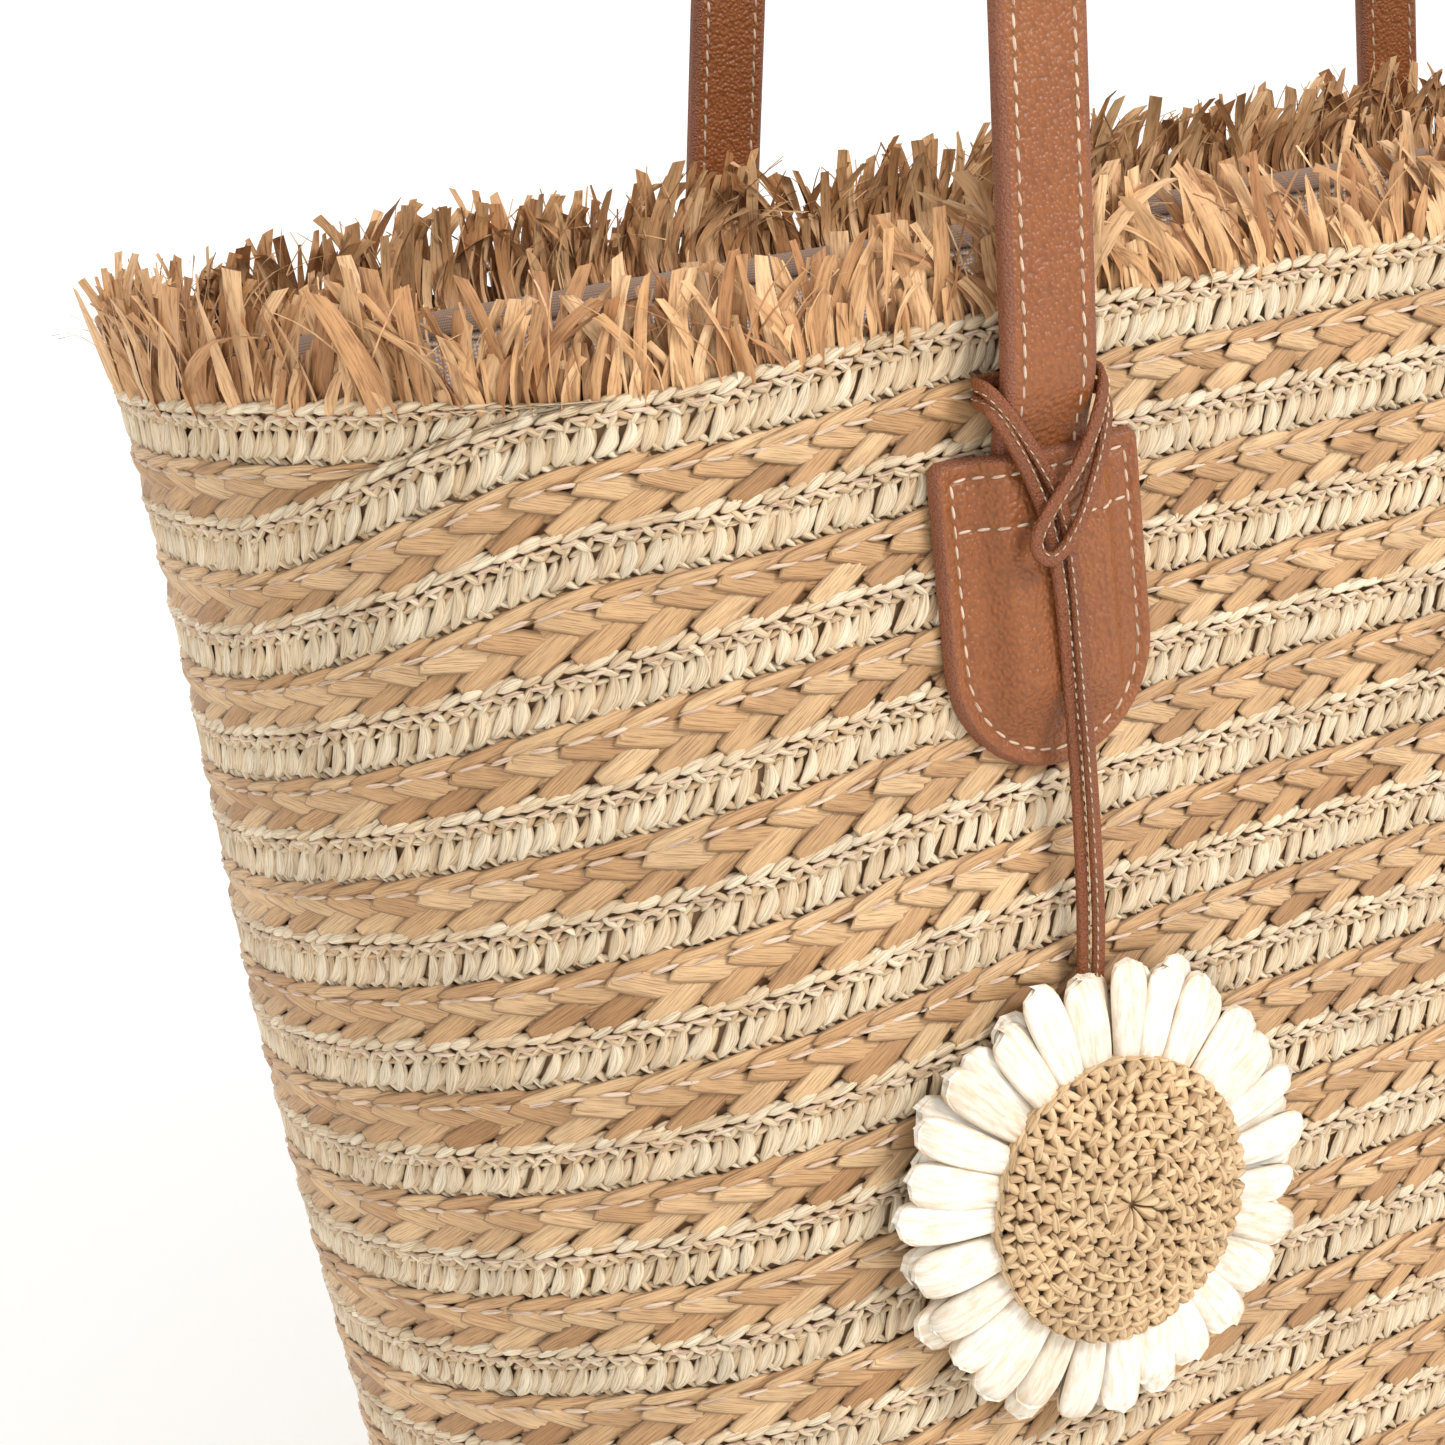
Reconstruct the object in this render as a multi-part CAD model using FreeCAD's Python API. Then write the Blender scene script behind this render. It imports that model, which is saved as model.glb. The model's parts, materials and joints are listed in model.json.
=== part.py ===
import FreeCAD, Part
import math
import os

# A tapered straw tote, in millimetres, +Z up, front facing -Y, origin under its middle.
# Braided straw courses are sewn one above another round a flat base mat, a fringe of
# loose straw stands on the rim, and a cloth lining hangs inside. Two leather strap
# handles are sewn on under patches, and a straw flower hangs on a lace from one strap.

V = FreeCAD.Vector

# ---- the braided wall -------------------------------------------------------------
RIM_HEIGHT = 296.0        # base to the top edge of the topmost braid
HALF_DEPTH = 88.0         # the ends are half rounds of this radius
STRAIGHT_AT_RIM = 165.0   # half length of the straight front and back faces
STRAIGHT_AT_BASE = 141.0
PAIRS = 14                # each pair is one natural braid under one cream braid
WALL = 5.0
TURN_IN = 6.0             # how far the lowest braid curves in under the wall
TURN_HEIGHT = 8.0
GAP = 0.4                 # clearance between separate pieces

BASE_THICKNESS = 5.0

# ---- the lining and the fringe ----------------------------------------------------
LINING = 1.5
HEM_HEIGHT = 15.0
HEM_THICKNESS = 1.3
FRINGE_HEIGHT = 21.0
FRINGE_THICKNESS = 4.0
FRINGE_OPENING = 32.0     # the strands part where a strap stands against the rim

# ---- the strap handles ------------------------------------------------------------
HANDLE_HALF = 102.0       # strap to the middle of its handle
HANDLE_SHIFT = -19.0      # assumed: front handle off centre to the left, back one to the right
STRAP_WIDTH = 20.0
STRAP_LAYER = 2.0         # each strap is two layers of leather
STRAP = 2 * STRAP_LAYER
PIVOT_BELOW_RIM = 8.0     # the straps bend here when a handle folds
STRAP_STANDOFF = 4.4      # wall to the inner layer, at the bend
BEND_ROOM = 3.6           # strap end to the bend line, so a folded handle clears it
LEG_LEAN = math.radians(5.0)      # the legs of a handle lean together going up
ARCH_CENTRE = 178.0       # height of the arch's centre above the bend
TWIST_START = 95.0        # above this the strap turns to lie flat over the arch
FRONT_LEAN = 2.5          # degrees the front handle tips in over the opening
BACK_LEAN = 8.0           # and the back one

PATCH_WIDTH = 43.0
PATCH_HEIGHT = 58.0
PATCH_BELOW_RIM = 24.0
PATCH_THICKNESS = 2.6
PATCH_CORNER = 2.0
END_LENGTH = 46.0         # strap hidden behind the patch

# ---- the flower charm -------------------------------------------------------------
LACE = 2.0
FLOWER_BELOW_RIM = 162.5
PETAL_REACH = 44.5
PETAL_WIDTH = 12.5
PETAL_LAYER = 2.6
PETALS = 14               # in each of two layers
PETAL_HOLE = 9.0
FLOWER_STANDOFF = 6.0     # wall to the back layer of petals
DISC_RADIUS = 26.3
DISC_EDGE = 2.4
DISC_DOME = 5.0
DISC_DIMPLE = 2.2

PIVOT_Z = RIM_HEIGHT - PIVOT_BELOW_RIM
PATCH_TOP = RIM_HEIGHT - PATCH_BELOW_RIM
FRONT_LEFT = HANDLE_SHIFT - HANDLE_HALF
FRONT_RIGHT = HANDLE_SHIFT + HANDLE_HALF
COURSE = (RIM_HEIGHT - BASE_THICKNESS) / (2 * PAIRS)

os.makedirs("parts", exist_ok=True)


def save(name, shape):
    """Write one piece as its own STEP file and print its size."""
    shape.exportStep("parts/" + name + ".step")
    print(name, "volume", round(shape.Volume / 1000, 2), "cm3", "valid", shape.isValid())


def straight(z):
    """Half length of the straight faces at height z."""
    return STRAIGHT_AT_BASE + (STRAIGHT_AT_RIM - STRAIGHT_AT_BASE) * z / RIM_HEIGHT


def outline(z, inset):
    """The bag's outline at height z: two straight faces and two half-round ends."""
    half = straight(z)
    radius = HALF_DEPTH - inset
    front_left, front_right = V(-half, -radius, z), V(half, -radius, z)
    back_right, back_left = V(half, radius, z), V(-half, radius, z)
    edges = [Part.makeLine(front_left, front_right),
             Part.Arc(front_right, V(half + radius, 0, z), back_right).toShape(),
             Part.makeLine(back_right, back_left),
             Part.Arc(back_left, V(-half - radius, 0, z), front_left).toShape()]
    return Part.Wire(edges)


def body(levels):
    """A solid through a list of (height, inset) outlines."""
    return Part.makeLoft([outline(z, inset) for z, inset in levels], True, True)


def band(low, high, outer, thickness):
    """A closed band round the bag between two heights."""
    reach = 1.0
    inner = body([(low - reach, outer + thickness), (high + reach, outer + thickness)])
    return body([(low, outer), (high, outer)]).cut(inner)


def box(x0, x1, y0, y1, z0, z1):
    """A box between two corners."""
    return Part.makeBox(x1 - x0, y1 - y0, z1 - z0, V(x0, y0, z0))


# ---- base mat, braided courses, lining and fringe -----------------------------------
mat_inset = TURN_IN + WALL + GAP
save("base_mat", body([(0, mat_inset + 1.5), (1.5, mat_inset), (BASE_THICKNESS, mat_inset)]))

turn_outer = body([(1, TURN_IN), (TURN_HEIGHT, 0), (BASE_THICKNESS + COURSE, 0)])
turn_inner = body([(0, mat_inset), (1, TURN_IN + WALL), (TURN_HEIGHT, WALL),
                   (BASE_THICKNESS + COURSE + 1, WALL)])
save("natural_course_01", turn_outer.cut(turn_inner))
for step in range(1, 2 * PAIRS):
    low = BASE_THICKNESS + step * COURSE
    kind = ("natural", "cream")[step % 2]
    name = "{}_course_{:02d}".format(kind, step // 2 + 1)
    save(name, band(low, low + COURSE, 0, WALL))

cloth = WALL + GAP
floor = BASE_THICKNESS + GAP
sack = body([(floor, TURN_IN + cloth - 3.0), (TURN_HEIGHT, cloth + GAP), (TURN_HEIGHT + 2, cloth),
             (RIM_HEIGHT - 3, cloth)])
hollow = body([(floor + LINING, TURN_IN + cloth - 3.0 + LINING),
               (TURN_HEIGHT + 2, cloth + LINING), (RIM_HEIGHT, cloth + LINING)])
save("lining", sack.cut(hollow))
save("lining_hem", band(RIM_HEIGHT - 2 - HEM_HEIGHT, RIM_HEIGHT - 2,
                        cloth + LINING + GAP / 2, HEM_THICKNESS))

fringe = band(RIM_HEIGHT, RIM_HEIGHT + FRINGE_HEIGHT, 0.5, FRINGE_THICKNESS)
notch_low, notch_high = RIM_HEIGHT + 3, RIM_HEIGHT + FRINGE_HEIGHT + 1
for x in (FRONT_LEFT, FRONT_RIGHT):
    near, far = x - FRINGE_OPENING / 2, x + FRINGE_OPENING / 2
    fringe = fringe.cut(box(near, far, -HALF_DEPTH, 0, notch_low, notch_high))
    fringe = fringe.cut(box(-far, -near, 0, HALF_DEPTH, notch_low, notch_high))
save("fringe", fringe)


# ---- strap ends and patches ---------------------------------------------------------
def face_profile(points, x, width):
    """A (standoff, height) outline, off the front wall, pushed across a width in x."""
    corners = [V(x - width / 2, -HALF_DEPTH - off, z) for off, z in points]
    wire = Part.makePolygon(corners + corners[:1])
    return Part.Face(wire).extrude(V(width, 0, 0))


def strap_end(x):
    """The fixed end of a strap: flat behind its patch, then standing off to the bend."""
    top = PIVOT_Z - BEND_ROOM
    bottom = PATCH_TOP - END_LENGTH
    inner = [(GAP, bottom), (GAP, PATCH_TOP + GAP), (STRAP_STANDOFF, top)]
    outer = [(off + STRAP, z) for off, z in reversed(inner)]
    return face_profile(inner + outer, x, STRAP_WIDTH)


def patch(x):
    """A U-shaped patch that lies on the wall and rises over the strap end."""
    low, high = GAP, GAP + STRAP + GAP / 2
    edge, foot, crown = PATCH_WIDTH / 2, STRAP_WIDTH / 2 + 4, STRAP_WIDTH / 2 + GAP
    under = [(-edge, low), (-foot, low), (-crown, high), (crown, high), (foot, low), (edge, low)]
    over = [(px, off + PATCH_THICKNESS) for px, off in reversed(under)]
    corners = [V(x + px, -HALF_DEPTH - off, PATCH_TOP - PATCH_HEIGHT) for px, off in under + over]
    raised = Part.Face(Part.makePolygon(corners + corners[:1])).extrude(V(0, 0, PATCH_HEIGHT))
    y = -HALF_DEPTH - 20
    centre = PATCH_TOP - PATCH_HEIGHT + edge
    shield = box(x - edge, x + edge, y, -HALF_DEPTH, centre, PATCH_TOP)
    shield = shield.fuse(Part.makeCylinder(edge, 20, V(x, y, centre), V(0, 1, 0)))
    shield = shield.removeSplitter()
    top = [e for e in shield.Edges if e.Length < 21 and e.BoundBox.ZMin > PATCH_TOP - 1]
    return raised.common(shield.makeFillet(PATCH_CORNER, top))


def to_back(shape):
    """Turn a front piece half round the bag's upright centre line."""
    turned = shape.copy()
    turned.rotate(V(0, 0, 0), V(0, 0, 1), 180)
    return turned


for front_side, back_side, x in (("left", "right", FRONT_LEFT), ("right", "left", FRONT_RIGHT)):
    save("front_strap_end_" + front_side, strap_end(x))
    save("front_patch_" + front_side, patch(x))
    save("back_strap_end_" + back_side, to_back(strap_end(x)))
    save("back_patch_" + back_side, to_back(patch(x)))


# ---- the handles --------------------------------------------------------------------
def arch_stations():
    """Places up one leg, over the arch and down the other: point, tangent, turn."""
    radius = (HANDLE_HALF - ARCH_CENTRE * math.tan(LEG_LEAN)) * math.cos(LEG_LEAN)
    foot = V(-HANDLE_HALF, 0, 0)
    lift = V(math.sin(LEG_LEAN), 0, math.cos(LEG_LEAN))
    centre = V(0, 0, ARCH_CENTRE)
    spring = centre + V(-math.cos(LEG_LEAN), 0, math.sin(LEG_LEAN)) * radius
    leg = (spring - foot).Length
    sweep = math.pi - 2 * LEG_LEAN
    half_length = leg + radius * sweep / 2
    places = [(foot + lift * s, lift, s) for s in (0, 45, TWIST_START, 0.5 * (TWIST_START + leg))]
    steps = 16
    for i in range(steps + 1):
        angle = math.pi - LEG_LEAN - sweep * i / steps
        out = V(math.cos(angle), 0, math.sin(angle))
        along = V(math.sin(angle), 0, -math.cos(angle))
        s = leg + radius * sweep * i / steps
        places.append((centre + out * radius, along, min(s, 2 * half_length - s)))
    for point, along, s in places[3::-1]:
        places.append((V(-point.x, 0, point.z), V(along.x, 0, -along.z), s))
    stations = []
    for point, along, s in places:
        share = max(0.0, (s - TWIST_START) / (half_length - TWIST_START))
        turn = math.pi / 2 * share * share * (3 - 2 * share)
        stations.append((point, along, turn))
    return stations


def strap_layer(near, far):
    """One leather layer of a handle, between two offsets from the strap's middle."""
    sections = []
    for point, along, turn in arch_stations():
        plane_out = along.cross(V(0, -1, 0))
        if plane_out.dot(point - V(0, 0, ARCH_CENTRE)) < 0:
            plane_out = -plane_out
        outward = V(0, -1, 0) * math.cos(turn) + plane_out * math.sin(turn)
        across = along.cross(outward) * (STRAP_WIDTH / 2)
        corners = [point + outward * near - across, point + outward * near + across,
                   point + outward * far + across, point + outward * far - across]
        sections.append(Part.makePolygon(corners + corners[:1]))
    layer = Part.makeLoft(sections, True, True)
    outside, inside = -max(near, far), -min(near, far)
    for x in (-HANDLE_HALF, HANDLE_HALF):
        left, right = x - STRAP_WIDTH / 2, x + STRAP_WIDTH / 2
        knuckle = Part.makeCylinder(STRAP / 2, STRAP_WIDTH, V(left, 0, 0), V(1, 0, 0))
        half = box(left, right, outside, inside, -STRAP, STRAP / 2)
        layer = layer.fuse(knuckle.common(half))
    return layer


def place_handle(shape, lean):
    """Stand a handle on the front bend line, tipped in by some degrees."""
    placed = shape.copy()
    placed.rotate(V(0, 0, 0), V(1, 0, 0), -lean)
    placed.translate(V(HANDLE_SHIFT, -HALF_DEPTH - STRAP_STANDOFF - STRAP / 2, PIVOT_Z))
    return placed


outer_layer = strap_layer(0, STRAP_LAYER)
inner_layer = strap_layer(-STRAP_LAYER, 0)
for name, layer in (("outer", outer_layer), ("inner", inner_layer)):
    save("front_strap_" + name, place_handle(layer, FRONT_LEAN))
    save("back_strap_" + name, to_back(place_handle(layer, BACK_LEAN)))


# ---- the lace -------------------------------------------------------------------------
# Route points: x from the front left strap's middle, standoff from the wall, and height above base.
LEFT_STRAND = [(-1.8, 3.4, 140), (-1.8, 3.6, 166), (-1.8, 7.0, 182), (-1.6, 8.7, 206), (-1.6, 8.9, 234),
               (-1.6, 8.8, 248.4)]
RIGHT_STRAND = [(1.8, 3.4, 140), (1.8, 3.6, 166), (1.8, 7.0, 182), (1.6, 8.7, 206), (1.5, 8.9, 234),
                (1.4, 8.8, 248.4)]
HITCH = [(-1.6, 8.8, 250), (-3.4, 8.7, 261), (-7.0, 8.6, 271), (-12.0, 7.9, 281), (-12.0, 1.35, 281.6),
         (-4.0, 1.25, 281.0), (4.0, 1.35, 281.4), (12.0, 1.35, 280.8), (12.0, 8.6, 279.6),
         (7.4, 10.2, 267.5), (1.0, 11.2, 257), (-5.0, 11.3, 252.6), (-8.4, 11.2, 256.8), (-4.0, 11.3, 262.4),
         (4.4, 11.0, 270.4), (12.0, 8.6, 283), (12.0, 1.35, 284.2), (4.0, 1.35, 284.6),
         (-4.0, 1.25, 284.2), (-12.0, 1.35, 284.6), (-12.0, 7.9, 284.0), (-5.2, 8.8, 273.4),
         (0.2, 8.7, 262.4), (1.4, 8.8, 250)]


def lace_wire(route):
    """Straight runs joined by tangent arcs through a lace's route points."""
    points = [V(FRONT_LEFT + x, -HALF_DEPTH - off, z) for x, off, z in route]
    edges, here, tightest = [], points[0], None
    for before, corner, after in zip(points, points[1:], points[2:]):
        back, on = (before - corner), (after - corner)
        half_turn = (math.pi - back.getAngle(on)) / 2
        radius = 0.45 * min(back.Length, on.Length) / math.tan(half_turn)
        trim = radius * math.tan(half_turn)
        back.normalize()
        on.normalize()
        start, end = corner + back * trim, corner + on * trim
        bisector = back + on
        bisector.normalize()
        middle = corner + bisector * (radius / math.cos(half_turn) - radius)
        edges.append(Part.makeLine(here, start))
        edges.append(Part.Arc(start, middle, end).toShape())
        here = end
        tightest = min(radius, tightest or radius)
    edges.append(Part.makeLine(here, points[-1]))
    print("lace route: length", round(sum(e.Length for e in edges), 1),
          "tightest bend radius", round(tightest, 2))
    return Part.Wire(edges)


def lace(route):
    """A round tube along a lace's route."""
    wire = lace_wire(route)
    start = wire.Vertexes[0].Point
    along = wire.Edges[0].tangentAt(wire.Edges[0].FirstParameter)
    ring = Part.Wire(Part.makeCircle(LACE / 2, start, along))
    tube = wire.makePipeShell([ring], True, True)
    ideal = math.pi * (LACE / 2) ** 2 * wire.Length
    print("tube volume / (section x length)", round(tube.Volume / ideal, 3))
    return tube


save("lace_hitch", lace(HITCH))
save("lace_strand_left", lace(LEFT_STRAND))
save("lace_strand_right", lace(RIGHT_STRAND))


# ---- the flower -----------------------------------------------------------------------
FLOWER_Z = RIM_HEIGHT - FLOWER_BELOW_RIM


def petal_layer(near, first_angle):
    """A wheel of flat round-ended petals, joined in the middle, facing the front."""
    wheel = Part.makeCylinder(PETAL_HOLE + 8, PETAL_LAYER).cut(Part.makeCylinder(PETAL_HOLE, PETAL_LAYER))
    length = PETAL_REACH - PETAL_WIDTH / 2
    for i in range(PETALS):
        petal = box(PETAL_HOLE + 3, length, -PETAL_WIDTH / 2 + 1.5, PETAL_WIDTH / 2 - 1.5, 0, PETAL_LAYER)
        petal = petal.fuse(Part.makeCylinder(PETAL_WIDTH / 2, PETAL_LAYER, V(length, 0, 0)))
        petal.rotate(V(0, 0, 0), V(0, 0, 1), first_angle + 360.0 * i / PETALS)
        wheel = wheel.fuse(petal)
    return face_front(wheel.removeSplitter(), near)


def face_front(shape, near):
    """Turn a piece built lying flat so it faces the front at a standoff from the wall."""
    turned = shape.copy()
    turned.rotate(V(0, 0, 0), V(1, 0, 0), 90)
    turned.translate(V(FRONT_LEFT, -HALF_DEPTH - near, FLOWER_Z))
    return turned


save("petals_back", petal_layer(FLOWER_STANDOFF, 0))
save("petals_front", petal_layer(FLOWER_STANDOFF + PETAL_LAYER, 180.0 / PETALS))

rim_point = V(DISC_RADIUS, 0, 0)
edge_point = V(DISC_RADIUS, 0, DISC_EDGE)
crown_point = V(DISC_RADIUS * 0.45, 0, DISC_EDGE + DISC_DOME)
shoulder = V(DISC_RADIUS * 0.8, 0, DISC_EDGE + DISC_DOME * 0.62)
dimple = V(0, 0, DISC_EDGE + DISC_DOME - DISC_DIMPLE)
disc_outline = Part.Wire([Part.makeLine(V(0, 0, 0), rim_point),
                          Part.makeLine(rim_point, edge_point),
                          Part.Arc(edge_point, shoulder, crown_point).toShape(),
                          Part.makeLine(crown_point, dimple),
                          Part.makeLine(dimple, V(0, 0, 0))])
disc = Part.Face(disc_outline).revolve(V(0, 0, 0), V(0, 0, 1), 360)
save("flower_disc", face_front(disc, FLOWER_STANDOFF + 2 * PETAL_LAYER))
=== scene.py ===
# %% [markdown]
# # A straw beach tote with a flower charm
# The bag is an oval tote made of two flat straw braids, one cream and one natural, sewn round
# and round in a double spiral. A fringe of loose straw stands on its rim, a cloth lining hangs
# inside, and leather straps are sewn on under stitched patches. A straw flower hangs on a lace.
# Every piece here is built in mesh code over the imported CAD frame, in metres.

# %% Load the frame
import json
import math

import bpy
import numpy as np
from mathutils import Matrix, Vector


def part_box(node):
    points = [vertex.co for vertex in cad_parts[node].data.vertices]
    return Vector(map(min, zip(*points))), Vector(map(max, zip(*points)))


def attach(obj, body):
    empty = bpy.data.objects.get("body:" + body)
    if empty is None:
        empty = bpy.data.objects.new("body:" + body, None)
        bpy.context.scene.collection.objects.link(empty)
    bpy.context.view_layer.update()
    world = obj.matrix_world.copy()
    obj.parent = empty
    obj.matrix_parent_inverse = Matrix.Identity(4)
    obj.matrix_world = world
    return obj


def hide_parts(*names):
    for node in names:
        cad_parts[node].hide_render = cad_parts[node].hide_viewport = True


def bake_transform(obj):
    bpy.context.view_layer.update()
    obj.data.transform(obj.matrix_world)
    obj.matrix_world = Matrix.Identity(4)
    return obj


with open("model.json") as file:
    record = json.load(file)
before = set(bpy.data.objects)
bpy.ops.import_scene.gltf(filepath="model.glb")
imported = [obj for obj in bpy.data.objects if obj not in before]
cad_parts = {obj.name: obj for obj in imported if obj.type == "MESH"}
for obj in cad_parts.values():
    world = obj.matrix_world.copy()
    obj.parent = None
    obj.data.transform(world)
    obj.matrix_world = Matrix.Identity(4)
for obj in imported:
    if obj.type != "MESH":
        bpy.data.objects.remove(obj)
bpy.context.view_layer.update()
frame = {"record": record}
mm = 0.001
chance = np.random.default_rng(7)

# %% [markdown]
# ## Camera, floor and light
# The camera stands close, front left of the bag and a little above the rim, turned a few degrees
# about its own line of sight, so the courses seem to climb to the right. The floor and the soft
# sky are near white, and the floor curves up far behind. One large lamp from the front right
# gives the straw its relief.

# %% Camera
camera_place = Vector((-382.5, -488.3, 354.2)) * mm
camera_forward = Vector((0.42571, 0.86782, -0.25624)).normalized()
camera_up = Vector((0.2153, 0.1779, 0.9602))
camera_right = camera_forward.cross(camera_up).normalized()
camera_up = camera_right.cross(camera_forward)

camera = bpy.data.objects.new("camera", bpy.data.cameras.new("camera"))
camera.matrix_world = Matrix.Translation(camera_place) @ Matrix(
    (camera_right, camera_up, -camera_forward)).transposed().to_4x4()
camera.data.lens = 68.7
camera.data.sensor_width = 36.0
camera.data.clip_start = 0.01
bpy.context.scene.collection.objects.link(camera)
bpy.context.scene.camera = camera
bpy.context.scene.view_settings.view_transform = "Standard"

# %% Floor, sky and lamps
def add_object(name, mesh, *materials):
    """Link a mesh as an object and give it its materials."""
    piece = bpy.data.objects.new(name, mesh)
    bpy.context.scene.collection.objects.link(piece)
    for material in materials:
        mesh.materials.append(material)
    return piece


def add_lamp(name, place, target, power, size, tint):
    """A square area lamp that looks at a target."""
    lamp = bpy.data.objects.new(name, bpy.data.lights.new(name, "AREA"))
    lamp.data.energy = power
    lamp.data.size = size
    lamp.data.color = tint
    lamp.location = place
    lamp.rotation_euler = (Vector(target) - Vector(place)).to_track_quat("-Z", "Y").to_euler()
    bpy.context.scene.collection.objects.link(lamp)


def plain_material(name, colour, roughness):
    """A material with one colour, for the floor and for the dark backings that paint shade."""
    material = bpy.data.materials.new(name)
    material.use_nodes = True
    shader = material.node_tree.nodes["Principled BSDF"]
    shader.inputs["Base Color"].default_value = (*colour, 1)
    shader.inputs["Roughness"].default_value = roughness
    return material


floor_mesh = bpy.data.meshes.new("floor")
floor_rows = [(-6 + 0.5 * step, 0.55 * max(0, -7.0 + 0.5 * step) ** 2) for step in range(22)]
floor_mesh.from_pydata([(x, y, z) for y, z in floor_rows for x in (-9, 9)], [],
                       [(2 * i, 2 * i + 1, 2 * i + 3, 2 * i + 2) for i in range(len(floor_rows) - 1)])
floor_mesh.shade_smooth()
floor_white = plain_material("floor_white", (0.93, 0.93, 0.92), 0.7)
floor_white.node_tree.nodes["Principled BSDF"].inputs["Emission Color"].default_value = (1, 1, 1, 1)
floor_white.node_tree.nodes["Principled BSDF"].inputs["Emission Strength"].default_value = 0.1
floor = add_object("floor", floor_mesh, floor_white)

world = bpy.data.worlds.new("sky")
world.use_nodes = True
world.node_tree.nodes["Background"].inputs["Color"].default_value = (1.0, 0.99, 0.975, 1)
world.node_tree.nodes["Background"].inputs["Strength"].default_value = 0.95
bpy.context.scene.world = world
add_lamp("key", (0.75, -1.7, 1.6), (-0.1, 0, 0.2), 38, 0.7, (1.0, 0.98, 0.95))
add_lamp("fill", (-1.5, -0.7, 1.0), (0, 0, 0.25), 4, 1.2, (0.97, 0.98, 1.0))

# %% [markdown]
# ## The lace, a free cord
# One thin leather lace is folded in two. Its fold and its two ends make a hitch round the front
# left strap: both strands go round the left edge of the strap, behind it, out at the right edge
# and back to the front, where the fold closes over them. The lace is the only free cord, so its
# route comes first. The route points are in millimetres from the strap's middle line: across,
# out from the wall, and up from the base.

# %% Route of the lace
rim_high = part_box("cream_course_14")[1]
patch_low, patch_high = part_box("front_patch_left")
half_depth = rim_high[1]
rim_height = rim_high[2]
strap_x = (patch_low[0] + patch_high[0]) / 2
lace_route = [
    (-1.6, 3.4, 140), (-1.5, 3.6, 166), (-1.2, 6.4, 182), (-1.0, 8.0, 206), (-1.0, 8.1, 234), (-1.6, 8.6, 250),
    (-3.4, 8.7, 261), (-7.0, 8.6, 271), (-12.0, 7.9, 281), (-12.0, 1.35, 281.6),
    (-4.0, 1.25, 281.0), (4.0, 1.35, 281.4), (12.0, 1.35, 280.8), (12.0, 8.6, 279.6),
    (7.4, 10.2, 267.5), (1.0, 11.2, 257), (-5.0, 11.3, 252.6), (-8.4, 11.2, 256.8),
    (-4.0, 11.3, 262.4), (4.4, 11.0, 270.4), (12.0, 8.6, 283), (12.0, 1.35, 284.2),
    (4.0, 1.35, 284.6), (-4.0, 1.25, 284.2), (-12.0, 1.35, 284.6), (-12.0, 7.9, 284.0),
    (-5.2, 8.8, 273.4), (0.2, 8.8, 262.4), (1.3, 9.2, 250), (1.0, 9.6, 234), (1.0, 9.5, 206),
    (1.2, 7.9, 182), (1.5, 3.8, 166), (1.6, 3.6, 140)]
route_points = [(strap_x + across * mm, -half_depth - out * mm, up * mm)
                for across, out, up in lace_route]


def smooth_line(points, steps):
    """Points along a NURBS curve with these control points."""
    curve = bpy.data.curves.new("route", "CURVE")
    curve.dimensions = "3D"
    spline = curve.splines.new("NURBS")
    spline.points.add(len(points) - 1)
    for point, place in zip(spline.points, points):
        point.co = (*place, 1)
    spline.order_u = 3
    spline.use_endpoint_u = True
    spline.resolution_u = steps
    holder = bpy.data.objects.new("route", curve)
    mesh = bpy.data.meshes.new_from_object(holder)
    line = np.array([vertex.co[:] for vertex in mesh.vertices])
    bpy.data.objects.remove(holder)
    bpy.data.meshes.remove(mesh)
    return line


lace_line = smooth_line(route_points, 8)

# %% [markdown]
# ## Tools for straw
# Everything straw is made of many small blades: narrow curved strips, thicker in the middle, with
# a few lengthwise creases. One call makes a whole row of them as arrays. A blade lies in flat
# measures first, along the braid, up it and out of it, and then the wall bends it into place.

# %% Meshes from grids of points
def grid_faces(count, rows, columns):
    """Corner numbers of the quads of many grids, each rows by columns points."""
    first = (np.arange(rows - 1)[:, None] * columns + np.arange(columns - 1)[None, :]).ravel()
    quad = np.stack([first, first + 1, first + columns + 1, first + columns], axis=1)
    return (quad[None] + (np.arange(count) * rows * columns)[:, None, None]).reshape(-1, 4)


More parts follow.
